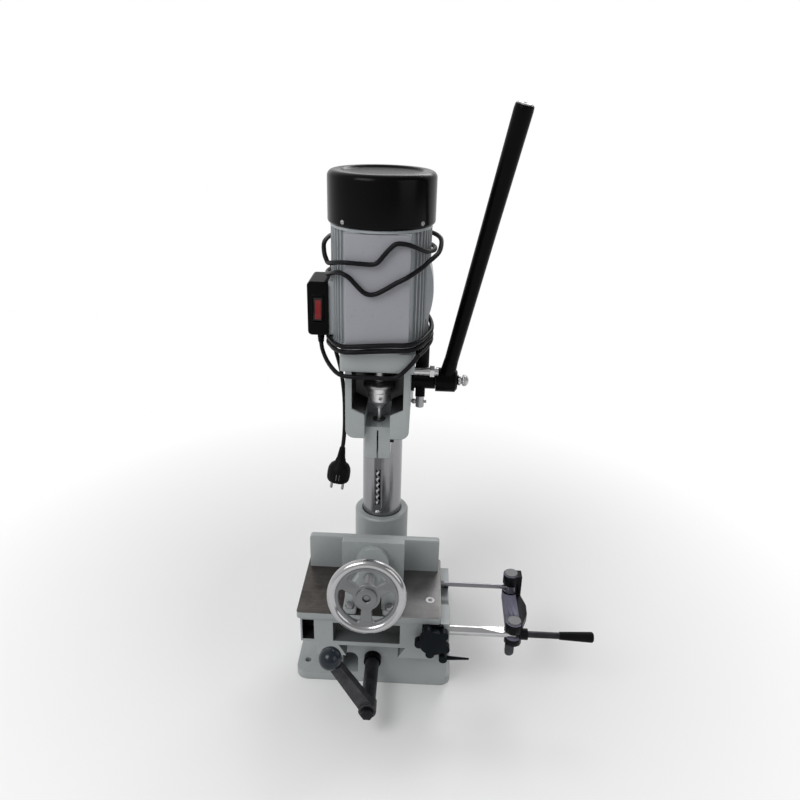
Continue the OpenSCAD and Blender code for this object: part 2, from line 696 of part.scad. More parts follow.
// ---- vice ----
module jaw() {
  color(paint) difference() {
    union() {
      along_y(-jaw_face - jaw_t, -jaw_face)
        rounded([vice_x - jaw_w / 2, vice_x + jaw_w / 2], [jaw_low, jaw_top], 3);
      intersection() {
        vice_frame() rod_z(jaw_s - 8, jaw_s + 22, 28);
        box([-100, 100], [-300, -jaw_face - 2], [jaw_low, jaw_top]);
      }
    }
    vice_frame() rod_z(jaw_s + 3, jaw_s + 30, vice_screw_d / 2 + run_gap);
  }
}
module vice_screw() {
  color(steel) vice_frame() rod_z(jaw_s + 3.5, 0, vice_screw_d / 2);
}
module handwheel() {
  color(steel) vice_frame() difference() {
    union() {
      rotate_extrude() translate([rim_r, 0]) circle(rim_d / 2);
      rotate_extrude() polygon([[rim_r - 9, -4], [rim_r, -4], [rim_r, 4], [rim_r - 9, 4]]);
      for (a = [30, 150, 270]) rotate(a) translate([0, 0, -4]) linear_extrude(8)
        polygon([[8, -8], [rim_r - 16, -5.5], [rim_r - 4, -11], [rim_r - 4, 11], [rim_r - 16, 5.5],
          [8, 8]]);
      rotate_extrude() polygon([[0, -14], [14, -14], [16.5, -8], [16.5, 6], [15.5, 8], [0, 8]]);
    }
    rod_z(-15, 0, vice_screw_d / 2);
    rod_z(-1, 9, 6);
  }
}

// ---- table lever ----
boss_r = 14.5;
rear_r = 13.5;
front_z = [bar_z - 18, bar_z + 24];
rear_z = [rod_z0 - 17, rod_z0 + 26];
arm_z = [bar_z + tongue_half + 0.8, bar_z + 21];
module table_lever() {
  color(black) difference() {
    union() {
      rod_z(front_z[0], front_z[1], boss_r, lever_x, -bar_y);
      rod_z(rear_z[0], rear_z[1], rear_r, lever_x, -rear_y);
      translate([lever_x + 8, -rear_y - 10, rear_z[0]]) cube([10.5, 20, rear_z[1] - rear_z[0]]);
      translate([lever_x, -bar_y, arm_z[0]]) linear_extrude(arm_z[1] - arm_z[0])
        polygon([[-boss_r, 0], [-rear_r, lever_arm], [18.5, lever_arm], [18.5, lever_arm - 14],
          [25, lever_arm - 38], [24, 24], [boss_r, 0]]);
      rod_x(lever_x + 10, lever_x + 24, 9.5, -bar_y, bar_z - 2);
    }
    // Fork for the flat end of the bar
    box([lever_x - 40, lever_x + 9.6], [-bar_y - 30, -bar_y + 17],
      [bar_z - tongue_half - 0.5, bar_z + tongue_half + 0.5]);
    // Fork for the eye of the link rod
    box([lever_x - 40, lever_x + 11.6], [-rear_y - 30, -rear_y + 30],
      [rod_z0 - eye_half - 0.4, rod_z0 + eye_half + 0.4]);
    rod_z(front_z[0] - 1, front_z[1] + 1, front_pin_r, lever_x, -bar_y);
    rod_z(rear_z[0] - 1, rear_z[1] + 1, rear_pin_r, lever_x, -rear_y);
    rod_x(lever_x + 12, lever_x + 25, 5.5, -bar_y, bar_z - 2);
  }
}
module pivot_pins() {
  color(steel) {
    rod_z(front_z[0] - 4, front_z[1], front_pin_r, lever_x, -bar_y);
    rod_z(front_z[1], front_z[1] + 2.5, 11, lever_x, -bar_y);
    rod_z(rear_z[0], rear_z[1], rear_pin_r, lever_x, -rear_y);
    rod_z(rear_z[1], rear_z[1] + 2.5, 11, lever_x, -rear_y);
  }
}
module lever_tongue() {
  low = front_z[0] - 15;
  color(iron) along_y(-bar_y - 11, -bar_y - 5.5) {
    translate([lever_x - 13, low]) square([15, 15]);
    translate([lever_x - 5.5, low]) circle(7.5);
  }
}
module feed_handle() {
  color(steel) rod_x(lever_x + 12, lever_x + handle_len - 8, 5.5, -bar_y, bar_z - 2);
}
module feed_grip() {
  color(black) difference() {
    translate([0, -bar_y, bar_z - 2]) rotate([0, 90, 0]) rotate_extrude()
      polygon([[0, lever_x + 78], [6.6, lever_x + 78], [7.4, lever_x + 96],
        [8.8, lever_x + handle_len - 6], [8.8, lever_x + handle_len - 2], [7, lever_x + handle_len],
        [0, lever_x + handle_len]]);
    rod_x(lever_x + 70, lever_x + handle_len - 8, 5.5, -bar_y, bar_z - 2);
  }
}

// ---- head ----
module head_casting() {
  deck_x = [-deck_w / 2, deck_w / 2];
  corner = 14;
  color(paint) difference() {
    union() {
      // Motor platform, blended into the column sleeve
      translate([0, 0, deck_low]) linear_extrude(deck_top - deck_low) {
        rounded(deck_x, [-deck_front, -20], 6);
        circle(sleeve_d / 2);
      }
      rod_z(head_low, deck_top, sleeve_d / 2);
      along_y(-head_front, 0) {
        translate([-side_x, head_low + corner]) square([head_w, deck_low - head_low - corner]);
        translate([-side_x + corner, head_low]) square([head_w - 2 * corner, 20]);
        for (s = [-1, 1]) translate([s * (side_x - corner), head_low + corner]) circle(corner);
      }
    }
    // Chuck window, with its sill falling to the middle
    along_y(-head_front - 1, -cavity_back) polygon([[-side_x + head_wall, deck_low],
      [-side_x + head_wall, window_low + 6], [-holder_w / 2, window_low - 4],
      [holder_w / 2, window_low - 4], [side_x - head_wall, window_low + 6],
      [side_x - head_wall, deck_low]]);
    box([-holder_w / 2, holder_w / 2], [-head_front - 1, -cavity_back], [holder_top, window_low]);
    // Notch in the front for the chisel holder, and its seat
    box([-holder_w / 2, holder_w / 2], [-head_front - 1, -holder_front], [head_low - 1, holder_top + 1]);
    box([-holder_w / 2, holder_w / 2], [-holder_front, -holder_back], [head_low - 1, holder_top]);
    // Column bore and the way for the rack
    rod_z(head_low - 1, deck_top + 1, column_r + sleeve_gap);
    box([-rack_w / 2 - 0.4, rack_w / 2 + 0.4], [-column_r - tip_h - 0.6, 0], [head_low - 1, deck_top + 1]);
    // Pinion chamber and shaft bearings
    rod_x(-gear_half - 1, gear_half + 1, pitch_r + tip_h + 0.6, -pinion_y, pinion_z);
    rod_x(-side_x + 4, side_x + 1, shaft_r + run_gap, -pinion_y, pinion_z);
    rod_z(deck_low - 1, deck_top - 6, 12, 0, -spindle_y);
    rod_z(chuck_top - 2, chuck_top + 11, flange_r + 0.7, 0, -spindle_y);
  }
}
module chisel_holder() {
  color(paint) difference() {
    box([-holder_w / 2, holder_w / 2], [-holder_front, -holder_back], [holder_low, holder_top]);
    rod_z(holder_low - 1, holder_top + 1, shank_d / 2, 0, -spindle_y);
    box([-1.3, 1.3], [-holder_front - 1, -spindle_y], [holder_low - 1, holder_top - 6]);
    rod_x(-14, holder_w, 4, -140, 459);
  }
}
module holder_bolt() {
  color(iron) {
    rod_x(-13, holder_w / 2, 4, -140, 459);
    rod_x(holder_w / 2, holder_w / 2 + 6, 6.2, -140, 459);
  }
}
// Square hollow chisel with a round shank, a chip slot and hollow-ground points
module chisel() {
  shoulder = holder_low - 7;
  bore = chisel_w / 2 - 1.45;
  color(steel) difference() {
    union() {
      rod_z(shoulder, holder_top + 3, shank_d / 2, 0, -spindle_y);
      translate(spindle) box([-chisel_w / 2, chisel_w / 2], [-chisel_w / 2, chisel_w / 2],
        [chisel_low, shoulder]);
    }
    rod_z(chisel_low - 1, holder_top + 4, bore, 0, -spindle_y);
    translate([0, -spindle_y, chisel_low - 0.01]) cylinder(h = 5, r1 = chisel_w * 0.72, r2 = bore);
    box([-4.2, 4.2], [-spindle_y - chisel_w, -spindle_y], [chisel_low + 14, chisel_low + 82]);
  }
}
fin_step = 6;
module motor_housing() {
  r = motor_d / 2;
  pad_x = r + 6;
  color(paint) difference() {
    translate(spindle) union() {
      translate([0, 0, motor_low]) cylinder(h = 8, r = r + 3);
      translate([0, 0, motor_top - 4]) cylinder(h = 4, r = cap_d / 2 - 4);
      translate([0, 0, motor_low]) linear_extrude(motor_h - 4) {
        circle(r);
        for (s = [0, 180], a = [-42:fin_step:42]) rotate(s + a) translate([r - 2, -1])
          square([fin_d + 2, 2]);
      }
      // Pads under the front panel and the switch box
      box([-panel_w / 2, panel_w / 2], [spindle_y - panel_front + panel_t, -20],
        [motor_low + 10, motor_top - 4]);
      box([-pad_x, 0], [spindle_y + box_y[0] + 4, spindle_y + box_y[1] - 4], [box_z[0], box_z[1]]);
      // Terminal cover on the right side
      along_y(-28, 28) intersection() {
        translate([r + 9.5 - 120, motor_low + 86]) circle(120, $fn = 128);
        translate([r - 14, motor_low + 43]) square([40, 86]);
      }
    }
    // Seat of the front panel
    box([-panel_w / 2, panel_w / 2], [-panel_front - 1, -panel_front + panel_t],
      [motor_low + 12, motor_top - 5]);
  }
}
module motor_panel() {
  color([0.70, 0.72, 0.76]) along_y(-panel_front, -panel_front + panel_t)
    rounded([-panel_w / 2, panel_w / 2], [motor_low + 12, motor_top - 5], 5);
}
module fan_cover() {
  r = cap_d / 2;
  color(black) difference() {
    translate([0, -spindle_y, motor_top]) rotate_extrude() polygon(concat([[0, 0], [r - 5, 0]],
      arc([r - 5, 5], 5, -60, 0, 3), arc([r - 14, cap_h - 14], 14, 0, 90, 6),
      [[r - 19, cap_h], [r - 22, cap_h - 3], [0, cap_h - 6]]));
    for (a = [-40:90:230]) translate([0, -spindle_y, motor_top + 8]) rotate(a) rod_y(-r - 1, -r + 9, 1.6);
  }
}
module cover_screws() {
  r = cap_d / 2;
  color(steel) for (a = [-40:90:230]) translate([0, -spindle_y, motor_top + 8]) rotate(a) {
    rod_y(-r, -r + 9, 1.6);
    rod_y(-r - 1.8, -r, 3.4);
  }
}
module switch_box() {
  color(black) difference() {
    along_y(box_y[0], box_y[1]) rounded(box_x, box_z, 6);
    // Pocket for the rocker, and the hole for the gland
    box([rocker_at[0] - 7, rocker_at[0] + 7], [box_y[0] - 1, box_y[0] + 13],
      [rocker_at[2] - 19, rocker_at[2] + 19]);
    rod_z(box_z[0] - 1, box_z[0] + 8, 4, gland_at[0], gland_at[1]);
  }
}
module rocker() {
  color([0.75, 0.08, 0.06]) translate(rocker_at) rotate([-7, 0, 0]) along_x(-6.3, 6.3)
    polygon([[-8, 17], [-6.2, 8], [-5.6, 0], [-6.2, -8], [-8, -17], [4, -12], [4, 12]]);
}
module cord_gland() {
  color(black) difference() {
    union() {
      rod_z(gland_at[2], box_z[0], 6, gland_at[0], gland_at[1]);
      rod_z(box_z[0], box_z[0] + 7, 4, gland_at[0], gland_at[1]);
    }
    rod_z(gland_at[2] - 1, gland_at[2] + 0.02, 3.4, gland_at[0], gland_at[1]);
  }
}
module capacitor() {
  color(black) {
    rod_z(581, deck_top - 2, 10.5, deck_w / 2 + 11, -128);
    box([deck_w / 2, deck_w / 2 + 11], [-133, -123], [deck_low + 4, deck_low + 16]);
  }
}
module pinion_sleeve() {
  color(black) difference() {
    union() {
      rod_x(side_x, hub_x[0] - 0.6, 16, -pinion_y, pinion_z);
      rod_x(side_x, side_x + 5, 21, -pinion_y, pinion_z);
      box([57, 73], [-pinion_y - 8, -pinion_y + 8], [pinion_z - 29, pinion_z]);
    }
    rod_x(side_x - 1, hub_x[0] + 1, shaft_r + run_gap, -pinion_y, pinion_z);
    rod_z(pinion_z - 30, pinion_z, 4 + run_gap, 65, -pinion_y);
  }
}
stop_at = [-150, 582];
module stop_stud() {
  color(steel) {
    rod_x(side_x, 79, 6.2, stop_at[0], stop_at[1]);
    hex_x(79, 86, 16, stop_at[0], stop_at[1]);
    rod_x(86, 92, 5.6, stop_at[0], stop_at[1]);
  }
}
module shaft_lock() {
  color(steel) {
    rod_z(pinion_z - 50, pinion_z - shaft_r - 0.5, 4, 65, -pinion_y);
    rod_z(pinion_z - 50, pinion_z - 30, 7, 65, -pinion_y);
    rod_x(55, 76, 2.6, -pinion_y, pinion_z - 41);
    translate([55, -pinion_y, pinion_z - 41]) rotate([0, -90, 0]) sphere(4.6);
  }
}

// ---- spindle and tooling ----
module spindle() {
  color(steel) translate(spindle) rotate_extrude()
    polygon([[0, chuck_top], [flange_r, chuck_top], [flange_r, chuck_top + 4], [23, chuck_top + 6],
      [9, chuck_top + 8], [9, deck_top - 8], [0, deck_top - 8]]);
}
module chuck() {
  r = chuck_d / 2;
  color([0.62, 0.62, 0.64]) difference() {
    translate(spindle) rotate_extrude()
      polygon([[0, chuck_low], [6, chuck_low], [8, chuck_low + 5], [r - 1, chuck_low + 14],
        [r, chuck_low + 16], [r, chuck_top - 11], [r - 1, chuck_top - 10], [r - 1, chuck_top], [0, chuck_top]]);
    for (a = [10, 130, 250]) translate([0, -spindle_y, chuck_low + 22]) rotate(a) rod_y(-r - 1, -r + 7, 3);
    rod_z(chuck_low - 1, chuck_low + 11, 4, 0, -spindle_y);
  }
}
// Twin-flight auger: one eight-sided section swept up a helix
module auger() {
  tip = chisel_low - 5;
  tall = 91;
  turns = 4;
  per_turn = 20;
  section = [[4.3, 0.8], [1.5, 1.4], [-1.5, 1.4], [-4.3, 0.8], [-4.3, -0.8], [-1.5, -1.4], [1.5, -1.4],
    [4.3, -0.8]];
  rings = turns * per_turn;
  points = [for (i = [0:rings], p = section) let (a = -360 * i / per_turn)
    [p[0] * cos(a) - p[1] * sin(a), p[0] * sin(a) + p[1] * cos(a), tip + tall * i / rings]];
  side = [for (i = [0:rings - 1], k = [0:7]) let (a = i * 8 + k, b = i * 8 + (k + 1) % 8)
    each [[a, a + 8, b], [b, a + 8, b + 8]]];
  ends = [for (k = [1:6]) each [[0, k, k + 1], [rings * 8, rings * 8 + k + 1, rings * 8 + k]]];
  color(steel) translate(spindle) {
    polyhedron(points, concat(side, ends));
    rod_z(tip + tall - 0.5, chuck_low + 11, 4);
  }
}

// ---- rack feed ----
function inv(a) = tan(a) * 180 / PI - a;
module pinion_shaft() {
  base_r0 = pitch_r * cos(20);
  tip_r = pitch_r + tip_h;
  root_r = pitch_r - root_h;
  steps = 5;
  half = 90 / gear_n - backlash / 4 / pitch_r * 180 / PI + inv(20);
  flank = [for (i = [0:steps]) let (r = base_r0 + (tip_r - base_r0) * i / steps)
    [r, half - inv(acos(min(1, base_r0 / r)))]];
  side = concat([[root_r, half]], flank);
  n = len(side);
  outline = [for (t = [0:gear_n - 1]) each concat(
    [for (i = [0:n - 1]) [side[i][0], 360 * t / gear_n - side[i][1]]],
    [for (i = [n - 1:-1:0]) [side[i][0], 360 * t / gear_n + side[i][1]]])];
  color(steel) difference() {
    translate([0, -pinion_y, pinion_z]) union() {
      along_x(-gear_half, gear_half) polygon([for (p = outline) [p[0] * cos(p[1]), p[0] * sin(p[1])]]);
      rod_x(-side_x + 5, hub_x[1] - 2, shaft_r);
    }
    rod_x(hub_x[1] - 16, hub_x[1], 4 + run_gap, -pinion_y, pinion_z);
  }
}
socket_to = 40;
module lever_hub() {
  color(black) difference() {
    union() {
      rod_x(hub_x[0], hub_x[1] - 4, hub_r, -pinion_y, pinion_z);
      translate([hub_x[1] - 4, -pinion_y, pinion_z]) rotate([0, 90, 0])
        cylinder(h = 4, r1 = hub_r, r2 = hub_r - 5);
      lever_frame() translate([0, 0, 6]) cylinder(h = socket_to - 6, r1 = 13.5, r2 = 11.5);
    }
    rod_x(hub_x[0] - 1, hub_x[1] - 2, shaft_r, -pinion_y, pinion_z);
    rod_x(hub_x[1] - 3, hub_x[1] + 1, 4 + run_gap, -pinion_y, pinion_z);
    lever_frame() rod_z(24, socket_to + 1, 8.5);
  }
}
module lever_stem() {
  color(black) lever_frame() difference() {
    rod_z(24, lever_len, 8.5);
    rod_z(lever_len - 14, lever_len + 1, 3);
  }
}
module lever_grip() {
  color(black) lever_frame() difference() {
    rotate_extrude() polygon([[0, grip_from], [9.3, grip_from], [10.5, grip_from + 14],
      [13.2, lever_len - 40], [13.6, lever_len - 8], [12.4, lever_len - 1.5], [0, lever_len - 1.5]]);
    rod_z(grip_from - 1, lever_len, 8.5);
  }
}
module pull_knob() {
  x0 = hub_x[1];
  color(steel) translate([0, -pinion_y, pinion_z]) {
    rod_x(x0 - 15, x0 + 6, 4);
    translate([x0 + 0.5, 0, 0]) rotate([0, 90, 0]) rotate_extrude()
      polygon([[0, 0], [7, 0], [9, 2], [9, 4], [6, 6], [9, 8], [9.6, 11], [9, 14], [6, 17], [3, 18.4],
        [0, 18.8]]);
  }
}

// ---- cord and plug ----
module cord_lead() {
  color(black) tube(lead_path, cord_r, 8, [0.1, 1, 0.25]);
}
module cord_wrap() {
  color(black) tube(wrap_path, cord_r, 6, [0, 0, 1]);
}
module cord_tail() {
  color(black) tube(tail_path, cord_r, 8, [0.3, 1, 0]);
}
// Round two-pin earthed plug, hanging from its strain relief
module plug() {
  color(black) translate(tail_route[len(tail_route) - 1]) rotate([0, 8, 0]) {
    rotate_extrude() polygon([[0, -62], [18.5, -62], [19.5, -60], [19.5, -44], [16, -34], [9.5, -28],
      [7, -20], [4.4, 0], [0, 0]]);
    for (s = [-9.5, 9.5]) rod_z(-81, -61, 2.4, s, 0);
  }
}

base_casting();
column_socket();
socket_bolts();
column();
column_cap();
rack();
screw_bearing();
saddle();
feed_nut();
pivot_bar();
bar_bracket();
feed_screw();
crank_arm();
crank_ball();
crank_nut();
star_knob();
star_stud();
lock_lever();
table();
table_gib();
fence();
table_bolts();
vice_bracket();
link_rod();
jaw();
vice_screw();
handwheel();
table_lever();
pivot_pins();
lever_tongue();
feed_handle();
feed_grip();
head_casting();
chisel_holder();
holder_bolt();
chisel();
motor_housing();
motor_panel();
fan_cover();
cover_screws();
switch_box();
cord_gland();
capacitor();
pinion_sleeve();
stop_stud();
rocker();
spindle();
chuck();
auger();
pinion_shaft();
lever_hub();
lever_stem();
lever_grip();
pull_knob();
shaft_lock();
cord_lead();
cord_wrap();
cord_tail();
plug();
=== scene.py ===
import bpy
import bmesh
import json
import math
from mathutils import Matrix, Vector

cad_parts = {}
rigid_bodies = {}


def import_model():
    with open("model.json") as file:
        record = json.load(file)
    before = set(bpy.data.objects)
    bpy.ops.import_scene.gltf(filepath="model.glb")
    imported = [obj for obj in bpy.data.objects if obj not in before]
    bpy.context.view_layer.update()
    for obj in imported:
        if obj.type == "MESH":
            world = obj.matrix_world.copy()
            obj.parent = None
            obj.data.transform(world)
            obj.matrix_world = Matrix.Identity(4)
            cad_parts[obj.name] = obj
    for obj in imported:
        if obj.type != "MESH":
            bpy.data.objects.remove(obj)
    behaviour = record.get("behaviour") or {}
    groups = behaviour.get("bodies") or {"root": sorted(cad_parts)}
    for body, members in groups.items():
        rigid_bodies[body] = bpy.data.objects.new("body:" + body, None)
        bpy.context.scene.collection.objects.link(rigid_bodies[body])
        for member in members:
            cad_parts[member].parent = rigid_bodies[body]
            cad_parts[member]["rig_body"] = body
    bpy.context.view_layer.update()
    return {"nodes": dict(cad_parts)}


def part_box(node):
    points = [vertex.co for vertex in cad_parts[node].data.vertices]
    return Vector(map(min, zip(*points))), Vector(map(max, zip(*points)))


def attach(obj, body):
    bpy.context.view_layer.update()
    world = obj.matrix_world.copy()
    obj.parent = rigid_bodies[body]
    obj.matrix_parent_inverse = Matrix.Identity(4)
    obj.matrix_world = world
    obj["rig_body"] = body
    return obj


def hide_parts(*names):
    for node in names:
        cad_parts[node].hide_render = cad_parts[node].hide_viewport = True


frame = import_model()
scene = bpy.context.scene
print("frame loaded")

# shader maths


class Wire:  # one socket that takes + - and *
    def __init__(self, board, socket):
        self.board = board
        self.socket = socket

    def maths(self, operation, other, swap=False):
        pair = [other, self] if swap else [self, other]
        return self.board.add("ShaderNodeMath", {"operation": operation}, dict(enumerate(pair)))

    def __add__(self, other):
        return self.maths("ADD", other)

    def __sub__(self, other):
        return self.maths("SUBTRACT", other)

    def __mul__(self, other):
        return self.maths("MULTIPLY", other)

    def __rsub__(self, other):
        return self.maths("SUBTRACT", other, swap=True)

    __radd__ = __add__
    __rmul__ = __mul__

    def clamped(self):
        return self.board.add("ShaderNodeClamp", {}, {0: self})

    def above(self, low, high):  # 0 at low, 1 at high
        return self.board.add("ShaderNodeMapRange", {}, {"Value": self, "From Min": low, "From Max": high})


class Board:  # the node board of one material, or of the world
    def __init__(self, name, world=None):
        self.material = world or bpy.data.materials.new(name)
        self.material.use_nodes = True
        self.tree = self.material.node_tree
        self.shader = self.tree.nodes["Background" if world else "Principled BSDF"]
        self.place = self.add("ShaderNodeTexCoord", {}, {}, "Generated" if world else "Object")

    def feed(self, socket, value):
        if isinstance(value, Wire):
            self.tree.links.new(value.socket, socket)
        elif isinstance(value, (list, tuple)) and len(value) == 3 and socket.type == "RGBA":
            socket.default_value = (*value, 1)
        else:
            socket.default_value = value

    def add(self, kind, settings, inputs, output=0):
        node = self.tree.nodes.new(kind)
        for key, value in settings.items():
            setattr(node, key, value)
        for key, value in inputs.items():
            self.feed(node.inputs[key], value)
        return Wire(self, node.outputs[output])

    def placed(self, scale=(1, 1, 1), turn=(0, 0, 0), shift=(0, 0, 0)):
        inputs = {"Vector": self.place, "Scale": scale, "Rotation": turn, "Location": shift}
        return self.add("ShaderNodeMapping", {}, inputs)

    def noise(self, scale, detail=3, rough=0.5, stretch=(1, 1, 1), turn=(0, 0, 0)):
        inputs = {"Vector": self.placed(stretch, turn), "Scale": scale, "Detail": detail, "Roughness": rough}
        return self.add("ShaderNodeTexNoise", {}, inputs)

    def cells(self, scale):
        return self.add("ShaderNodeTexVoronoi", {}, {"Vector": self.placed(), "Scale": scale}, "Distance")

    def axis(self, letter):
        return self.add("ShaderNodeSeparateXYZ", {}, {0: self.place}, letter)

    def facing(self, letter):
        normal = self.add("ShaderNodeNewGeometry", {}, {}, "Normal")
        return self.add("ShaderNodeSeparateXYZ", {}, {0: normal}, letter)

    def blend(self, amount, first, second):
        inputs = {"Factor": amount, "A": first, "B": second}
        node = self.tree.nodes.new("ShaderNodeMix")
        node.data_type = "RGBA"
        for socket in node.inputs:
            if socket.name in inputs and socket.enabled:
                self.feed(socket, inputs[socket.name])
        return Wire(self, [s for s in node.outputs if s.enabled][0])

    def edges(self, reach):  # 1 on corners and edges, 0 on flats
        soft = self.add("ShaderNodeBevel", {"samples": 4}, {"Radius": reach})
        sharp = self.add("ShaderNodeNewGeometry", {}, {}, "Normal")
        same = self.add("ShaderNodeVectorMath", {"operation": "DOT_PRODUCT"}, {0: soft, 1: sharp}, "Value")
        return ((1 - same) * 6).clamped()

    def bump(self, height, strength, depth, base=None):
        inputs = {"Height": height, "Strength": strength, "Distance": depth}
        if base is not None:
            inputs["Normal"] = base
        return self.add("ShaderNodeBump", {}, inputs)

    def rounded(self, reach):
        return self.add("ShaderNodeBevel", {"samples": 6}, {"Radius": reach})

    def finish(self, **values):
        names = {"colour": "Base Color", "rough": "Roughness", "metal": "Metallic", "coat": "Coat Weight",
                 "coatRough": "Coat Roughness", "normal": "Normal", "specular": "Specular IOR Level"}
        for key, value in values.items():
            self.feed(self.shader.inputs[names[key]], value)
        return self.material


# finishes

paint = {"body": (0.300, 0.322, 0.325), "panel": (0.268, 0.272, 0.298), "motor": (0.315, 0.335, 0.350),
         "dirt": (0.110, 0.108, 0.100), "chip": (0.050, 0.045, 0.042),
         # the next line's first colour is near-black painted shade, laid inside cavities and recesses
         "hollow": (0.014, 0.014, 0.015), "rough": 0.36}


def castPaint(name, colour, grain=1.0, hollow=None):
    board = Board(name)
    mottle = board.noise(9, 4, 0.6)
    speck = board.noise(130, 3, 0.7)
    peel = board.noise(420, 2, 0.5)
    cast = board.noise(60, 4, 0.6)
    wear = (board.edges(0.0012) * board.noise(70, 4, 0.7).above(0.52, 0.62)).clamped()
    fresh = board.blend(mottle.above(0.35, 0.70) * 0.6, colour, [c * 0.90 for c in colour])
    grubby = board.blend(speck.above(0.60, 0.80) * 0.25, fresh, paint["dirt"])
    tone = board.blend(wear * 0.55, grubby, paint["chip"])
    if hollow is not None:  # painted shade: the inside of a cavity is painted near-black
        tone = board.blend(hollow(board), tone, paint["hollow"])
    shape = board.bump(peel * 0.4 + cast * grain, 0.30, 0.0005, board.rounded(0.0015))
    return board.finish(colour=tone, rough=mottle * 0.12 + paint["rough"] - 0.04 + wear * 0.2,
                        coat=0.2, coatRough=0.25, specular=0.4, normal=shape)


def chuckWindowShade(board):  # 1 deep inside the head, behind its front face, where the paint is darkened as painted shade
    wide = board.axis("X")
    inside = wide.above(-0.0455, -0.0450) * (1 - wide.above(0.0450, 0.0455))
    deep = board.axis("Y").above(-0.1630, -0.1600) * (1 - board.axis("Y").above(-0.0900, -0.0880))
    high = board.axis("Z").above(0.5050, 0.5070) * (1 - board.axis("Z").above(0.5985, 0.5990))
    return inside * deep * high


def within(board, low, high):  # 1 inside a box
    inside = 1
    for letter, a, b in zip("XYZ", low, high):
        along = board.axis(letter)
        inside = along.above(a, a + 0.0003) * (1 - along.above(b, b + 0.0003)) * inside
    return inside


def saddlePaintedShade(board):  # painted shade: the left pocket, and the recess in the front, are painted near-black
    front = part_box("saddle")[0][1]
    low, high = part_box("saddle")[0][2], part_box("saddle")[1][2]
    pocket = within(board, (-0.1186, front + 0.0008, low), (-0.0962, front + 0.040, high - 0.002))
    recess = within(board, (-0.0665, front + 0.0008, low), (0.0475, front + 0.030, high - 0.002))
    return (pocket + recess * 0.72).clamped()


def groundIron():  # dark planed top with a painted edge, and a painted reflection to the right
    board = Board("groundIron")
    lines = board.noise(900, 2, 0.5, (0.02, 1, 1))
    cloud = board.noise(16, 5, 0.65)
    stain = board.noise(38, 4, 0.6).above(0.52, 0.70)
    bare = board.blend(cloud.above(0.30, 0.72), (0.040, 0.034, 0.031), (0.105, 0.094, 0.087))
    bare = board.blend(stain * 0.5, bare, (0.026, 0.021, 0.019))
    bare = board.blend(lines.above(0.45, 0.75) * 0.35, bare, (0.15, 0.14, 0.135))
    top = board.facing("Z").above(0.8, 0.9) * board.axis("Z").above(0.1730, 0.1735)
    under = 1 - board.axis("Z").above(0.1615, 0.1618)
    metal = (top + under).clamped()
    paintedReflection = board.axis("X").above(-0.010, 0.055) * cloud.above(0.10, 0.60)  # painted reflection: the top is made brighter to the right
    bare = board.blend(paintedReflection, bare, (0.170, 0.168, 0.168))
    edge = board.blend(board.noise(12).above(0.4, 0.7) * 0.4, paint["body"], [c * 0.85 for c in paint["body"]])
    return board.finish(colour=board.blend(metal, edge, bare), metal=metal * 0.75,
                        rough=0.34 + cloud * 0.12 + lines * 0.06,
                        normal=board.bump(lines + cloud * 0.5, 0.25, 0.0002, board.rounded(0.0012)))


def turnedSteel(name, colour, direction, rough=0.24, stain=0.35):
    # fine lathe or grinding marks run round the axis
    board = Board(name)
    stretch = {"X": (1, 0.01, 0.01), "Y": (0.01, 1, 0.01), "Z": (0.01, 0.01, 1)}[direction]
    marks = board.noise(1600, 2, 0.6, stretch)
    haze = board.noise(14, 4, 0.6)
    spots = board.cells(260).above(0.10, 0.02) * board.noise(30, 3).above(0.56, 0.68)
    tone = board.blend(haze.above(0.35, 0.75) * stain, colour, [c * 0.66 for c in colour])
    tone = board.blend((spots * 0.45).clamped(), tone, (0.10, 0.08, 0.06))
    return board.finish(colour=tone, metal=1.0, rough=rough + haze * 0.08 + marks * 0.08,
                        normal=board.bump(marks, 0.12, 0.0001, board.rounded(0.0008)))


def chromePlate(name="chromePlate", tone=0.72, rough=0.09):
    board = Board(name)
    smear = board.noise(26, 4, 0.6)
    scratch = board.noise(700, 3, 0.7, (0.05, 1, 1), (0.3, 0.2, 0.5))
    clean, dull = (tone, tone, tone * 1.02), (tone * 0.75, tone * 0.75, tone * 0.77)
    colour = board.blend(smear.above(0.4, 0.75) * 0.4, clean, dull)
    return board.finish(colour=colour, metal=1.0,
                        rough=rough + smear * 0.07 + scratch.above(0.62, 0.72) * 0.10,
                        normal=board.bump(scratch, 0.04, 0.0001, board.rounded(0.0008)))


def blackPaint(name, tone, rough, shine, peel, flat=None, reach=0.5):
    board = Board(name)
    haze = board.noise(11, 4, 0.6)
    dust = board.noise(210, 3, 0.7).above(0.62, 0.80)
    ripple = board.noise(75, 2, 0.5)
    rub = (board.edges(0.0010) * board.noise(60, 4, 0.7).above(0.48, 0.62)).clamped()
    colour = board.blend(dust * 0.05, tone, (0.045, 0.045, 0.047))
    colour = board.blend(rub * 0.20, colour, (0.045, 0.045, 0.047))
    if flat is not None:  # painted light: faces turned up are painted lighter, as far as reach along x
        up = board.facing("Z").above(0.90, 0.97) * (1 - board.axis("X").above(reach, reach + 0.0005))
        colour = board.blend(up * board.noise(35, 3).above(0.15, 0.40), colour, flat)
    return board.finish(colour=colour, rough=rough + haze * 0.12 + dust * 0.10, specular=shine,
                        normal=board.bump(ripple, peel, 0.0004, board.rounded(0.0015)))


def mattBlack(name, tone, shine=0.16, grain=900):
    board = Board(name)
    pits = board.cells(grain)
    haze = board.noise(25, 4, 0.6)
    deep, worn = (tone, tone, tone * 1.1), (tone * 2.2, tone * 2.2, tone * 2.4)
    colour = board.blend(haze.above(0.4, 0.75) * 0.5, deep, worn)
    return board.finish(colour=colour, rough=0.42 + haze * 0.16, specular=shine,
                        normal=board.bump(pits, 0.25, 0.0002, board.rounded(0.0010)))


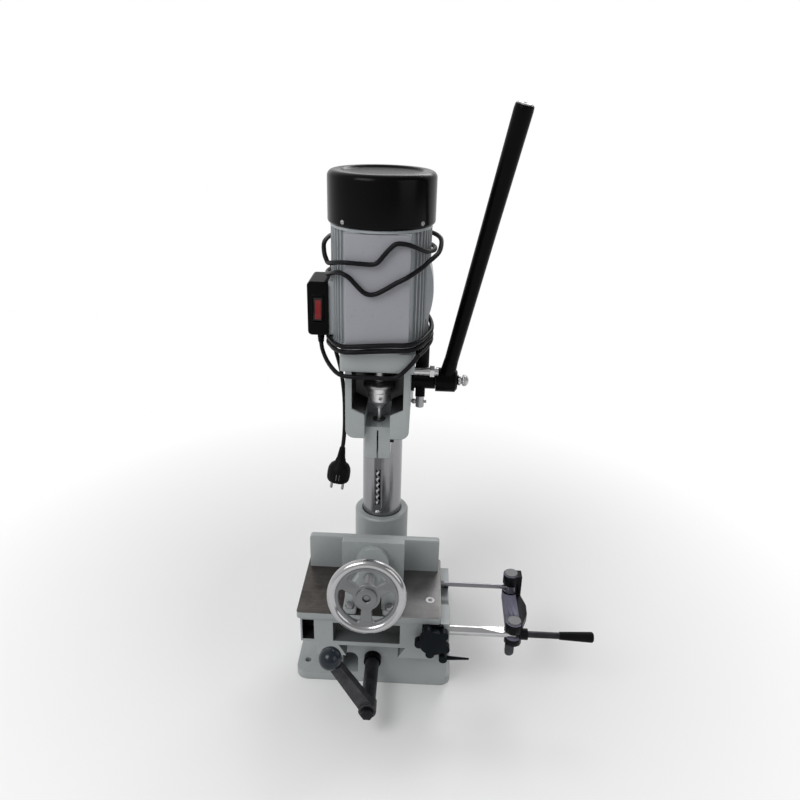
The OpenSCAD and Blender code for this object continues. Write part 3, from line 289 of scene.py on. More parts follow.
def darkIron(name, low, high):
    board = Board(name)
    haze = board.noise(40, 5, 0.65)
    grit = board.noise(500, 3, 0.6)
    return board.finish(colour=board.blend(haze.above(0.3, 0.75), low, high), metal=0.8,
                        rough=0.34 + grit * 0.16, normal=board.bump(grit, 0.2, 0.0002, board.rounded(0.0010)))


def redPlastic():
    board = Board("redPlastic")
    haze = board.noise(90, 3)
    colour = board.blend(haze.above(0.4, 0.7), (0.210, 0.008, 0.010), (0.140, 0.006, 0.008))
    lens = within(board, (-0.0957, -0.30, 0.6600), (-0.0873, 0.30, 0.6880))
    colour = board.blend(lens, (0.010, 0.0035, 0.0038), colour)
    return board.finish(colour=colour, rough=0.24 + haze * 0.15, specular=0.3, normal=board.rounded(0.0008))


def bronze():
    board = Board("bronze")
    haze = board.noise(50, 4)
    colour = board.blend(haze.above(0.35, 0.7), (0.55, 0.36, 0.14), (0.36, 0.22, 0.09))
    return board.finish(colour=colour, metal=1.0, rough=0.3 + haze * 0.2, normal=board.rounded(0.0006))


def cordRubber():
    board = Board("cordRubber")
    haze = board.noise(60, 4)
    grain = board.noise(1500, 2)
    colour = board.blend(haze.above(0.4, 0.75), (0.0025, 0.0025, 0.0036), (0.0070, 0.0070, 0.0095))
    return board.finish(colour=colour, rough=0.34 + haze * 0.16, specular=0.12,
                        normal=board.bump(grain, 0.15, 0.0002))


bodyPaint = castPaint("bodyPaint", paint["body"])
finishes = {
    "base_casting": bodyPaint, "column_socket": bodyPaint, "fence": bodyPaint,
    # the saddle's pocket and front recess are painted near-black, as painted shade
    "saddle": castPaint("saddlePaintAndShade", paint["body"], 1.0, saddlePaintedShade),
    "vice_bracket": bodyPaint, "jaw": bodyPaint, "chisel_holder": bodyPaint,
    # the head's paint turns near-black inside the chuck window, as painted shade
    "head_casting": castPaint("headPaintAndShade", paint["body"], 1.0, chuckWindowShade),
    "motor_housing": castPaint("motorPaint", paint["motor"], 0.4),
    "motor_panel": castPaint("panelPaint", paint["panel"], 0.2),
    "table": groundIron(),
    "column": turnedSteel("columnSteel", (0.30, 0.30, 0.315), "Z", 0.16),
    "socket_bolts": turnedSteel("boltSteel", (0.36, 0.36, 0.37), "Z", 0.32),
    "chuck": turnedSteel("chuckSteel", (0.80, 0.80, 0.81), "Z", 0.40, 0.1),
    "pivot_pins": blackPaint("pinGrey", (0.150, 0.152, 0.158), 0.34, 0.3, 0.05),
    "feed_handle": darkIron("handleSteel", (0.016, 0.016, 0.019), (0.052, 0.052, 0.058)),
    "chisel": turnedSteel("chiselSteel", (0.15, 0.15, 0.16), "Z", 0.30, 0.4),
    "auger": turnedSteel("augerSteel", (0.70, 0.70, 0.71), "Z", 0.22, 0.2),
    "feed_screw": darkIron("darkIron", (0.028, 0.029, 0.033), (0.080, 0.080, 0.086)),
    "holder_bolt": darkIron("blackedIron", (0.006, 0.006, 0.008), (0.022, 0.022, 0.026)),
    "pivot_bar": chromePlate("chromePlate", 0.52, 0.16),
    "handwheel": chromePlate("wheelPlate", 0.44, 0.15),
    "feed_nut": bronze(),
    "fan_cover": blackPaint("coverBlack", (0.0016, 0.0016, 0.0020), 0.16, 0.08, 0.12),
    "switch_box": blackPaint("switchBlack", (0.0016, 0.0016, 0.0020), 0.34, 0.06, 0.06),
    # painted light: the lever's faces turned up get a light purple-grey, out to x 0.2485
    "table_lever": blackPaint("leverPaintAndLitTop", (0.0028, 0.0030, 0.0046), 0.28, 0.10, 0.3, (0.150, 0.148, 0.200),
                              0.2485),
    "lever_hub": blackPaint("feedPaint", (0.0014, 0.0014, 0.0018), 0.26, 0.06, 0.25),
    "crank_ball": blackPaint("knobBlack", (0.0090, 0.0140, 0.0210), 0.12, 0.30, 0.03),
    "star_knob": blackPaint("starBlack", (0.0026, 0.0046, 0.0070), 0.30, 0.08, 0.05),
    "feed_grip": mattBlack("gripBlack", 0.0024, 0.08),
    "rocker": redPlastic(),
    "link_rod": turnedSteel("rodSteel", (0.27, 0.27, 0.29), "X", 0.22, 0.2),
    "star_stud": turnedSteel("studSteel", (0.40, 0.40, 0.41), "Y", 0.3),
}
sameAs = {
    "socket_bolts": ["table_bolts", "cover_screws", "shaft_lock", "spindle"],
    "feed_screw": ["crank_arm", "lever_tongue", "table_gib"],
    "holder_bolt": ["crank_nut"],
    "pivot_bar": ["stop_stud", "pull_knob"],
    "fan_cover": ["column_cap"],
    "lever_hub": ["pinion_sleeve", "lever_stem", "screw_bearing", "bar_bracket"],
    "star_knob": ["lock_lever"],
    "feed_grip": ["lever_grip", "cord_gland", "capacitor", "plug"],
    "link_rod": ["rack", "pinion_shaft"],
    "star_stud": ["vice_screw"],
}
for source, others in sameAs.items():
    for other in others:
        finishes[other] = finishes[source]
for node, thing in frame["nodes"].items():
    if node in finishes:
        for place in thing.material_slots:
            place.material = finishes[node]
print("finishes laid on the frame")

# camera

lens = {"focal": 720.3, "down": 23.7, "left": 1.85, "roll": 1.51, "place": (0.06765, -1.180, 0.9843)}
down, left, roll = (math.radians(lens[k]) for k in ("down", "left", "roll"))
forward = Vector((-math.sin(left) * math.cos(down), math.cos(left) * math.cos(down), -math.sin(down)))
right = Vector((math.cos(left), math.sin(left), 0))
upward = right.cross(forward)
turnedRight = right * math.cos(roll) + upward * math.sin(roll)
turnedUp = upward * math.cos(roll) - right * math.sin(roll)
camera = bpy.data.objects.new("camera", bpy.data.cameras.new("camera"))
scene.collection.objects.link(camera)
turn = Matrix((turnedRight, turnedUp, -forward)).transposed().to_4x4()
camera.matrix_world = Matrix.Translation(lens["place"]) @ turn
camera.data.sensor_width = 36
camera.data.lens = lens["focal"] * 36 / 800
camera.data.clip_start = 0.02
scene.camera = camera
print("camera set")

# cord

cord = {"thick": 0.0068, "motorY": -119.5, "endGap": 6.8}  # thick in metres, the others in mm like the routes
leadRoute = [(-92, -120, 622), (-92, -120, 614), (-89, -128, 603), (-80, -147, 593), (-68, -168, 587),
             (-55, -184, 584), (-38, -190, 584), (-5, -191, 584), (26, -191, 585), (42, -191, 597),
             (56, -191, 614)]
tailRoute = [(-81, -81, 690), (-81, -81, 655), (-80, -82, 622), (-74, -90, 592), (-64, -102, 562),
             (-58, -110, 522), (-57, -111, 482), (-58, -110, 452), (-59.6, -110, 434), (-61, -110, 424)]
reach = [(0, 79.5), (15, 82.3), (30, 91.6), (45, 88), (60, 82), (90, 79), (135, 78.5), (180, 77.8),
         (225, 78.9), (270, 79), (300, 82), (315, 88), (330, 91.6), (345, 82.3), (360, 79.5)]
windingRoute = [(42, 4, 622), (66, 0, 625), (100, 0, 626), (140, 0, 626), (180, 0, 625.5), (225, 0, 624),
                (270, 0, 620), (300, 0, 622), (328, 0, 625), (350, 0, 627.5), (390, 0, 631.5), (420, 0, 633),
                (460, 0, 634), (500, 0, 634.5), (545, 0, 634), (590, 0, 631.8), (630, 0, 628), (660, 0, 630.5),
                (688, 0, 633.5), (715, 0, 637), (750, 0, 640), (780, 0, 642), (815, 0, 647), (850, 0, 661),
                (885, 0, 684), (920, 0, 706), (950, 0, 718), (980, 0, 725), (1008, 0, 727), (1028, 0, 735),
                (1044, 0.5, 741), (1054, 0.5, 736), (1066, 0, 716), (1079, 0, 714), (1098, 0, 730),
                (1116, 0, 745), (1136, 2, 755), (1156, 7, 763), (1176, 9, 776), (1200, 4, 780), (1235, 0, 780),
                (1275, 0, 777), (1315, 0, 775), (1350, 1, 774), (1369, 5, 769), (1376, 6, 758), (1383, 4, 749),
                (1396, 2, 753), (1412, 1, 757), (1436, 0, 755.5), (1446, 0, 768), (1457, 0, 784), (1470, 0, 783),
                (1490, 0, 771), (1516, 0, 766), (1555, 0, 764), (1595, 0, 761), (1635, 0, 756), (1662, 1, 748),
                (1678, 7, 736), (1684, 9.5, 720)]


def between(table, where):  # straight-line look-up
    for (a, low), (b, high) in zip(table, table[1:]):
        if where <= b:
            return low + (high - low) * (where - a) / (b - a)
    return table[-1][1]


def smoothed(points, steps):  # a curve through every point
    points = [Vector(p) for p in points]
    line = []
    for i in range(len(points) - 1):
        a, b, c, d = points[max(i - 1, 0)], points[i], points[i + 1], points[min(i + 2, len(points) - 1)]
        for k in range(steps):
            t = k / steps
            line.append(0.5 * (2 * b + (c - a) * t + (2 * a - 5 * b + 4 * c - d) * t * t
                               + (3 * b - a - 3 * c + d) * t * t * t))
    return line + [points[-1]]


def roundMotor(point):
    turned = point[0] % 360
    far = between(reach, turned) + point[1]
    angle = math.radians(turned)
    return Vector((far * math.sin(angle), cord["motorY"] - far * math.cos(angle), point[2]))


# the same rings as the solids have, then one finer curve through them, in metres
winding = [roundMotor(p) for p in smoothed(windingRoute, 2)]
lead = smoothed(leadRoute, 2)
tail = smoothed(tailRoute, 3)
intoWinding = winding[0] - (winding[1] - winding[0]).normalized() * cord["endGap"]
outOfWinding = winding[-1] + (winding[-1] - winding[-2]).normalized() * cord["endGap"]
knots = lead + [intoWinding] + winding + [outOfWinding] + tail
cordLine = [p / 1000 for p in smoothed(knots, 3)]
flex = bpy.data.curves.new("powerCord", "CURVE")
flex.dimensions = "3D"
flex.bevel_depth = cord["thick"] / 2
flex.bevel_resolution = 3
flex.use_fill_caps = True
spline = flex.splines.new("POLY")
spline.points.add(len(cordLine) - 1)
for knot, place in zip(spline.points, cordLine):
    knot.co = (*place, 1)
spline.use_smooth = True
powerCord = bpy.data.objects.new("powerCord", flex)
scene.collection.objects.link(powerCord)
powerCord.data.materials.append(cordRubber())
cordLength = sum((b - a).length for a, b in zip(cordLine, cordLine[1:]))
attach(powerCord, "head")
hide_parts("cord_lead", "cord_wrap", "cord_tail")
print("cord laid", round(cordLength, 3), "m")

# making by hand


def placedMesh(piece):  # moves a piece's place and turn into its mesh
    bpy.context.view_layer.update()
    piece.data.transform(piece.matrix_world)
    piece.matrix_world = Matrix.Identity(4)


def startPiece(kind, name, **size):
    bpy.ops.object.select_all(action="DESELECT")
    getattr(bpy.ops.mesh, "primitive_%s_add" % kind)(**size)
    piece = bpy.context.object
    piece.name = name
    placedMesh(piece)
    return piece


def openEdit(piece):
    bpy.ops.object.select_all(action="DESELECT")
    piece.select_set(True)
    bpy.context.view_layer.objects.active = piece
    bpy.ops.object.mode_set(mode="EDIT")
    bpy.ops.mesh.select_all(action="DESELECT")


def closeEdit():
    bpy.ops.object.mode_set(mode="OBJECT")


def pick(piece, test, kind="FACE"):  # selects what passes test(centre, normal or direction)
    bpy.ops.mesh.select_mode(type=kind)
    bpy.ops.mesh.select_all(action="DESELECT")
    shape = bmesh.from_edit_mesh(piece.data)
    for item in shape.faces if kind == "FACE" else shape.edges:
        if kind == "FACE":
            chosen = test(item.calc_center_median(), item.normal)
        else:
            ends = [v.co for v in item.verts]
            chosen = test((ends[0] + ends[1]) / 2, (ends[1] - ends[0]).normalized())
        item.select_set(bool(chosen))
    shape.select_flush_mode()
    bmesh.update_edit_mesh(piece.data)


def modified(piece, kind, **settings):
    bpy.ops.object.select_all(action="DESELECT")
    piece.select_set(True)
    bpy.context.view_layer.objects.active = piece
    change = piece.modifiers.new(kind.lower(), kind)
    for key, value in settings.items():
        setattr(change, key, value)
    bpy.ops.object.modifier_apply(modifier=change.name)


def joined(pieces, name):
    bpy.ops.object.select_all(action="DESELECT")
    for piece in pieces:
        placedMesh(piece)
        piece.select_set(True)
    bpy.context.view_layer.objects.active = pieces[0]
    bpy.ops.object.join()
    pieces[0].name = name
    return pieces[0]


def settle(piece, body, finish, smooth=35, turned=None, place=None):
    bpy.ops.object.select_all(action="DESELECT")
    piece.select_set(True)
    bpy.context.view_layer.objects.active = piece
    if turned is not None:
        piece.rotation_euler = turned
    if place is not None:
        piece.location = place
    bpy.ops.object.transform_apply(location=True, rotation=True, scale=True)
    openEdit(piece)
    bpy.ops.mesh.select_all(action="SELECT")
    bpy.ops.mesh.remove_doubles(threshold=0.00001)
    bpy.ops.mesh.normals_make_consistent(inside=False)
    closeEdit()
    bpy.ops.object.shade_smooth_by_angle(angle=math.radians(smooth))
    piece.data.materials.clear()
    piece.data.materials.append(finish)
    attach(piece, body)
    return piece


def lathed(name, profile, steps=64):  # profile of (radius, height), spun about Z
    mesh = bpy.data.meshes.new(name)
    piece = bpy.data.objects.new(name, mesh)
    scene.collection.objects.link(piece)
    mesh.from_pydata([(r, 0, z) for r, z in profile], [(i, i + 1) for i in range(len(profile) - 1)], [])
    openEdit(piece)
    bpy.ops.mesh.select_all(action="SELECT")
    bpy.ops.mesh.spin(steps=steps, angle=2 * math.pi, center=(0, 0, 0), axis=(0, 0, 1))
    bpy.ops.mesh.select_all(action="SELECT")
    bpy.ops.mesh.remove_doubles(threshold=0.000002)
    bpy.ops.mesh.normals_make_consistent(inside=False)
    closeEdit()
    return piece


def plateFrom(name, outlines, half, edge=0.0):  # outlines in the XY plane, the later ones are holes
    flat = bpy.data.curves.new(name, "CURVE")
    flat.dimensions = "2D"
    flat.fill_mode = "BOTH"
    flat.extrude = half - edge
    flat.bevel_depth = edge
    flat.bevel_resolution = 2
    for outline in outlines:
        line = flat.splines.new("POLY")
        line.points.add(len(outline) - 1)
        for knot, at in zip(line.points, outline):
            knot.co = (at[0], at[1], 0, 1)
        line.use_cyclic_u = True
    piece = bpy.data.objects.new(name, flat)
    scene.collection.objects.link(piece)
    bpy.ops.object.select_all(action="DESELECT")
    piece.select_set(True)
    bpy.context.view_layer.objects.active = piece
    bpy.ops.object.convert(target="MESH")
    return bpy.context.object


def ringOf(radius, count=96):
    turns = [2 * math.pi * i / count for i in range(count)]
    return [(radius * math.cos(a), radius * math.sin(a)) for a in turns]


# handwheel

wheel = {"at": (-0.005, -0.281, 0.254), "tilt": 79, "ring": 0.055, "rim": 0.0075, "bore": 0.006,
         "windowIn": 0.0205, "windowOut": 0.0455, "spoke": 0.0075, "corner": 0.0062, "web": 0.0042,
         "webEdge": 0.0505, "webTone": (0.215, 0.220, 0.225)}


def windowOutline(middle):
    corner, outline = wheel["corner"], []

    def half(radius):
        return math.radians(60) - math.asin(wheel["spoke"] / radius)

    for side, level, out, first in ((-1, wheel["windowIn"], -1, 180), (1, wheel["windowIn"], -1, 270),
                                    (1, wheel["windowOut"], 1, 0), (-1, wheel["windowOut"], 1, 90)):
        heart = level - out * corner
        for k in range(9):
            turnBy = math.radians(first + 90 * k / 8)
            radius = heart + corner * math.sin(turnBy)
            angle = middle + side * (half(heart) - corner / heart) + corner * math.cos(turnBy) / radius
            outline.append((radius, angle))
    full = []
    for (r1, a1), (r2, a2) in zip(outline, outline[1:] + outline[:1]):
        count = max(1, int(abs(a2 - a1) * r1 / 0.0015))
        full += [(r1 + (r2 - r1) * k / count, a1 + (a2 - a1) * k / count) for k in range(count)]
    return [(r * math.cos(a), r * math.sin(a)) for r, a in full]


rim = startPiece("torus", "rim", major_radius=wheel["ring"], minor_radius=wheel["rim"], major_segments=128,
                 minor_segments=28)
windows = [windowOutline(math.radians(a)) for a in (90, 210, 330)]
web = plateFrom("web", [ringOf(wheel["webEdge"], 128)] + windows, wheel["web"], 0.0012)
bore = wheel["bore"]
hub = lathed("hub", [(0, -0.0075), (bore - 0.0002, -0.0075), (bore, -0.007), (bore, 0.0072),
                     (bore + 0.001, 0.0082), (0.0150, 0.0082), (0.0162, 0.0077), (0.0166, 0.0066),
                     (0.0166, -0.0075), (0.0158, -0.0100), (0.0140, -0.0142), (0.0120, -0.0146), (0, -0.0146)])
# painted shade: a near-black lining inside the hub's bore, where the hole lies in shade
shade = lathed("shade", [(0, -0.0074), (bore - 0.0001, -0.0074), (bore - 0.0001, 0.0070),
                         (bore - 0.0004, 0.0070), (bore - 0.0004, -0.0070), (0, -0.0070)], 40)
wheelWeb = joined([web, hub], "handwheelWeb")
wheelTurn = (math.radians(wheel["tilt"]), 0, 0)
settle(rim, "handwheel", finishes["handwheel"], 40, wheelTurn, wheel["at"])
webSteel = turnedSteel("webSteel", wheel["webTone"], "Z", 0.34, 0.3)
settle(wheelWeb, "handwheel", webSteel, 40, wheelTurn, wheel["at"])
settle(shade, "handwheel", finishes["holder_bolt"], 40, wheelTurn, wheel["at"])
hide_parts("handwheel")
print("handwheel made")

# small turned and moulded pieces

lever = {"foot": (0.107, -0.063, 0.534), "forward": 12, "outward": 10.5}
leverTurn = (Matrix.Rotation(math.radians(lever["forward"]), 3, "X")
             @ Matrix.Rotation(math.radians(lever["outward"]), 3, "Y")).to_euler()
sleeve = lathed("leverSleeve", [(0, 0.0330), (0.0112, 0.0330), (0.0114, 0.0345), (0.0117, 0.1200),
                                (0.0124, 0.2800), (0.0132, 0.4000), (0.0135, 0.4400), (0.0130, 0.4455),
                                (0.0114, 0.4476), (0, 0.4476)], 48)
settle(sleeve, "down_lever", finishes["lever_hub"], 30, leverTurn, lever["foot"])
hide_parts("lever_stem", "lever_grip")
gripCap = lathed("gripCap", [(0, 0.4468), (0.0031, 0.4468), (0.0031, 0.4486), (0.0037, 0.4490),
                             (0.0082, 0.4490), (0.0092, 0.4485), (0.0094, 0.4474), (0, 0.4474)], 48)
settle(gripCap, "down_lever", finishes["socket_bolts"], 30, leverTurn, lever["foot"])

relief = {"at": (-0.092, -0.120), "top": 0.634, "low": 0.6125, "ribs": 5}
steps = [(0, relief["top"]), (0.0074, relief["top"]), (0.0074, relief["top"] - 0.0025),
         (0.0062, relief["top"] - 0.0032)]
for i in range(relief["ribs"]):
    z = relief["top"] - 0.0042 - i * 0.0034
    r = 0.0060 - i * 0.00032
    steps += [(r, z), (r, z - 0.0018), (r - 0.0011, z - 0.0021), (r - 0.0011, z - 0.0032)]
steps += [(0.0042, relief["low"] + 0.0004), (0.0038, relief["low"]), (0, relief["low"])]
strainRelief = lathed("strainRelief", steps, 32)
settle(strainRelief, "head", finishes["cord_gland"], 35, None, (*relief["at"], 0))
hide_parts("cord_gland")

tableScrew = lathed("tableScrew", [(0, 0.1730), (0.0030, 0.1731), (0.0034, 0.1741), (0.0068, 0.1744),
                                   (0.0076, 0.1743), (0.0080, 0.1738), (0, 0.1738)], 48)
settle(tableScrew, "table", finishes["socket_bolts"], 30, None, (0.096, -0.1835, 0))
print("small pieces made")

# plug

plug = {"at": (-0.061, -0.110, 0.424), "lean": 8, "pin": 0.0024, "apart": 0.0095, "flutes": 16}
steps = [(0, 0), (0.0040, 0), (0.0046, -0.0008)]
for i in range(5):
    z = -0.0022 - i * 0.0036
    r = 0.0047 + (0.0022 - z - 0.0022) * 0.12
    steps += [(r, z), (r + 0.0002, z - 0.0020), (r - 0.0008, z - 0.0023), (r - 0.0007, z - 0.0034)]
steps += [(0.0078, -0.0215), (0.0095, -0.0280), (0.0125, -0.0315), (0.0160, -0.0345), (0.0183, -0.0390),
          (0.0193, -0.0435), (0.0195, -0.0480), (0.0195, -0.0560), (0.0190, -0.0600), (0.0182, -0.0618),
          (0.0170, -0.0622), (0.0166, -0.0606), (0, -0.0606)]
plugBody = lathed("plugBody", steps, plug["flutes"] * 4)
openEdit(plugBody)
pick(plugBody, lambda c, n: -0.056 < c.z < -0.044 and c.to_2d().length > 0.018
     and int((math.degrees(math.atan2(c.y, c.x)) % 360) / (90 / plug["flutes"])) % 4 in (1, 2))
bpy.ops.mesh.inset(thickness=0.0006, depth=-0.0007)
closeEdit()
plugTurn = (0, math.radians(plug["lean"]), 0)
settle(plugBody, "head", finishes["plug"], 40, plugTurn, plug["at"])
pins = []
for side in (-1, 1):
    pin = startPiece("cylinder", "pin", vertices=32, radius=plug["pin"], depth=0.0204,
                     location=(side * plug["apart"], 0, -0.0708))
    openEdit(pin)
    pick(pin, lambda c, n: n.z < -0.9)
    bpy.ops.mesh.bevel(offset=0.0012, segments=4, affect="EDGES")
    closeEdit()
    pins.append(pin)
for side in (-1, 1):
    clip = startPiece("cube", "clip", size=1, location=(0, side * 0.0178, -0.0530),
                      scale=(0.0060, 0.0018, 0.0168))
    openEdit(clip)
    pick(clip, lambda c, n: abs(n.x) > 0.9)
    bpy.ops.mesh.bevel(offset=0.0005, segments=2, affect="EDGES")
    closeEdit()
    pins.append(clip)
plugPins = joined(pins, "plugPins")
settle(plugPins, "head", finishes["socket_bolts"], 35, plugTurn, plug["at"])
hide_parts("plug")
print("plug made")

# screws with a thread


def threaded(name, crest, root, pitch, length, steps=40):  # along +Z from 0, right-handed
    mesh = bpy.data.meshes.new(name)
    piece = bpy.data.objects.new(name, mesh)
    scene.collection.objects.link(piece)
    profile = [(root, 0), (root, 0.37), (crest, 0.5), (crest, 0.87), (root, 1)]
    mesh.from_pydata([(r, 0, z * pitch) for r, z in profile], [(i, i + 1) for i in range(4)], [])
    modified(piece, "SCREW", axis="Z", angle=2 * math.pi, screw_offset=pitch, iterations=int(length / pitch),
             steps=steps, render_steps=steps, use_merge_vertices=True, merge_threshold=0.000001)
    for end in (0, length):
        openEdit(piece)
        bpy.ops.mesh.select_mode(type="EDGE")
        bpy.ops.mesh.select_all(action="DESELECT")
        shape = bmesh.from_edit_mesh(piece.data)
        for edge in shape.edges:
            near = abs((edge.verts[0].co.z + edge.verts[1].co.z) / 2 - end) < length / 2
            edge.select_set(edge.is_boundary and near)
        bmesh.update_edit_mesh(piece.data)
        bpy.ops.mesh.edge_face_add()
        closeEdit()
    return piece


vice = {"crest": 0.0080, "root": 0.0062, "pitch": 0.004, "from": -0.1305, "thread": 0.112}
thread = threaded("viceThread", vice["crest"], vice["root"], vice["pitch"], vice["thread"])
thread.location.z = vice["from"] + 0.004
nose = lathed("nose", [(0, vice["from"]), (0.0060, vice["from"]), (0.0066, vice["from"] + 0.0008),
                       (0.0066, vice["from"] + 0.0085), (0, vice["from"] + 0.0085)], 40)
shank = lathed("shank", [(0, -0.0190), (0.0074, -0.0190), (0.0080, -0.0182), (0.0080, -0.0020),
                         (0, -0.0020)], 40)
viceScrew = joined([nose, shank, thread], "viceScrew")
settle(viceScrew, "handwheel", finishes["vice_screw"], 30, wheelTurn, wheel["at"])
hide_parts("vice_screw")
print("vice screw made")

# auger

drill = {"tip": 0.305, "tall": 0.0905, "turns": 4, "half": 0.0043, "thick": 0.0014, "axis": (0, -0.1195)}
half, thick = drill["half"], drill["thick"]
outline = [(half, 0.0006), (0.0030, 0.0010), (0.0014, thick), (-0.0014, thick), (-0.0030, 0.0010),
           (-half, 0.0006), (-half, -0.0006), (-0.0030, -0.0010), (-0.0014, -thick),
           (0.0014, -thick), (0.0030, -0.0010), (half, -0.0006)]
loop = [(i, (i + 1) % len(outline)) for i in range(len(outline))]
mesh = bpy.data.meshes.new("flights")
flights = bpy.data.objects.new("flights", mesh)
scene.collection.objects.link(flights)
mesh.from_pydata([(x, y, 0) for x, y in outline], loop, [])
modified(flights, "SCREW", axis="Z", angle=-2 * math.pi * drill["turns"], screw_offset=drill["tall"],
         iterations=1, steps=40 * drill["turns"], render_steps=40 * drill["turns"])
openEdit(flights)
for end in (0, drill["tall"]):
    pick(flights, lambda c, n: abs(c.z - end) < 0.0001, "EDGE")
    bpy.ops.mesh.edge_face_add()
closeEdit()
flights.location.z = drill["tip"]
stalkLow = drill["tip"] + drill["tall"] - 0.0006
stalk = lathed("stalk", [(0, stalkLow), (0.0040, stalkLow), (0.0040, 0.516), (0, 0.516)], 32)
auger = joined([flights, stalk], "augerSteel")
settle(auger, "spindle", finishes["auger"], 35, None, (*drill["axis"], 0))
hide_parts("auger")
print("auger made")

# fan cover

fan = {"at": (0, -0.1195, 0.800), "radius": 0.0785, "tall": 0.073, "foot": 0.005, "round": 0.009,
       "screws": (-40, 50, 140, 230)}


def arcOf(cx, cz, radius, first, last, count):
    turns = [math.radians(first + (last - first) * i / count) for i in range(count + 1)]
    return [(cx + radius * math.cos(a), cz + radius * math.sin(a)) for a in turns]


steps = [(0, 0), (fan["radius"] - fan["foot"], 0)]
steps += arcOf(fan["radius"] - fan["foot"], fan["foot"], fan["foot"], -75, 0, 5)
steps += arcOf(fan["radius"] - fan["round"], fan["tall"] - fan["round"], fan["round"], 0, 90, 14)
steps += [(0.0605, 0.0730), (0.0592, 0.0724), (0.0578, 0.0706), (0.0560, 0.0698), (0.0450, 0.0684),
          (0.0300, 0.0676), (0.0150, 0.0672), (0, 0.0671)]
fanCover = lathed("fanCover", steps, 128)
settle(fanCover, "head", finishes["fan_cover"], 30, None, fan["at"])
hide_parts("fan_cover")
heads = []
for turned in fan["screws"]:
    steps = [(0, -0.0006), (0.0034, -0.0006), (0.0034, 0.0004)] + arcOf(0, -0.0017, 0.00397, 32, 88, 6)
    head = lathed("screwHead", steps + [(0, 0.00228)], 24)
    openEdit(head)
    pick(head, lambda c, n: n.z > 0.6 and min(abs(c.x), abs(c.y)) < 0.0006 and c.to_2d().length < 0.0022)
    bpy.ops.transform.translate(value=(0, 0, -0.0007))
    closeEdit()
    away = Matrix.Rotation(math.radians(turned), 4, "Z") @ Matrix.Translation((0, -fan["radius"], 0.008))
    head.data.transform(Matrix.Translation(fan["at"]) @ away @ Matrix.Rotation(math.radians(90), 4, "X"))
    heads.append(head)
coverScrews = joined(heads, "coverScrews")
settle(coverScrews, "head", finishes["cover_screws"], 40)
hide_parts("cover_screws")
print("fan cover made")

# pull knob

knob = {"from": 0.1265, "axis": (-0.063, 0.534), "knurls": 30}
steps = [(0, 0), (0.0070, 0), (0.0086, 0.0010), (0.0090, 0.0022), (0.0090, 0.0040), (0.0084, 0.0050),
         (0.0062, 0.0058), (0.0060, 0.0064), (0.0072, 0.0074), (0.0092, 0.0086), (0.0096, 0.0100),
         (0.0096, 0.0125), (0.0090, 0.0142), (0.0076, 0.0160), (0.0054, 0.0176), (0.0028, 0.0185), (0, 0.0188)]
pullKnob = lathed("pullKnob", steps, knob["knurls"] * 2)
openEdit(pullKnob)
pick(pullKnob, lambda c, n: abs(n.z) < 0.55 and 0.0078 < c.z < 0.0150 and c.to_2d().length > 0.0070
     and int((math.degrees(math.atan2(c.y, c.x)) % 360) / (180 / knob["knurls"])) % 2)
bpy.ops.mesh.inset(thickness=0.0002, depth=-0.00035)
closeEdit()
rod = startPiece("cylinder", "rod", vertices=32, radius=0.004, depth=0.0160, location=(0, 0, -0.0075))
pullKnob = joined([pullKnob, rod], "pullKnob")
settle(pullKnob, "pull_knob", finishes["pull_knob"], 35, (0, math.radians(90), 0),
       (knob["from"], *knob["axis"]))
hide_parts("pull_knob")
print("pull knob made")

# switch

switch = {"x": (-0.107, -0.076), "y": -0.150, "z": (0.634, 0.716), "rocker": (-0.0915, 0.674),
          "half": (0.0092, 0.0215)}


def squareOutline(middle, half, corner, count=6):
    outline = []
    for sx, sy, first in ((1, 1, 0), (-1, 1, 90), (-1, -1, 180), (1, -1, 270)):
        cx, cy = middle[0] + sx * (half[0] - corner), middle[1] + sy * (half[1] - corner)
        outline += [(cx + corner * math.cos(math.radians(first + 90 * i / count)),
                     cy + corner * math.sin(math.radians(first + 90 * i / count))) for i in range(count + 1)]
    return outline


bezel = plateFrom("bezel", [squareOutline(switch["rocker"], switch["half"], 0.0022),
                            squareOutline(switch["rocker"], (0.0070, 0.0190), 0.0008)], 0.0012, 0.0005)
middle = ((switch["x"][0] + switch["x"][1]) / 2, (switch["z"][0] + switch["z"][1]) / 2)
lid = plateFrom("lid", [squareOutline(middle, (0.0148, 0.0400), 0.0052),
                        squareOutline(switch["rocker"], (0.0076, 0.0196), 0.0010)], 0.0010, 0.0008)
lid.location.z = -0.0002
bezel.location.z = 0.0006
switchLid = joined([lid, bezel], "switchLid")
settle(switchLid, "head", finishes["switch_box"], 35, (math.radians(90), 0, 0),
       (0, switch["y"], 0))
print("switch lid made")

# castings and bars with their edges taken off

# how far the edges are rounded, and the slot of the finish
softEdges = {"base_casting": (0.0022, "cast_paint"), "column_socket": (0.0022, "cast_paint"),
             "table": (0.0010, "ground_iron"), "fence": (0.0015, "cast_paint"),
             "vice_bracket": (0.0014, "cast_paint"), "head_casting": (0.0018, "cast_paint"),
             "chisel_holder": (0.0010, "cast_paint"), "motor_panel": (0.0012, "panel_paint"),
             "table_lever": (0.0020, "black_paint"), "crank_arm": (0.0020, "dark_iron"),
             "lever_hub": (0.0015, "black_paint"), "star_knob": (0.0020, "black_gloss"),
             "pinion_sleeve": (0.0012, "black_paint"), "bar_bracket": (0.0010, "black_paint"),
             "socket_bolts": (0.0005, "steel"), "table_bolts": (0.0005, "steel"),
             "crank_nut": (0.0006, "steel")}


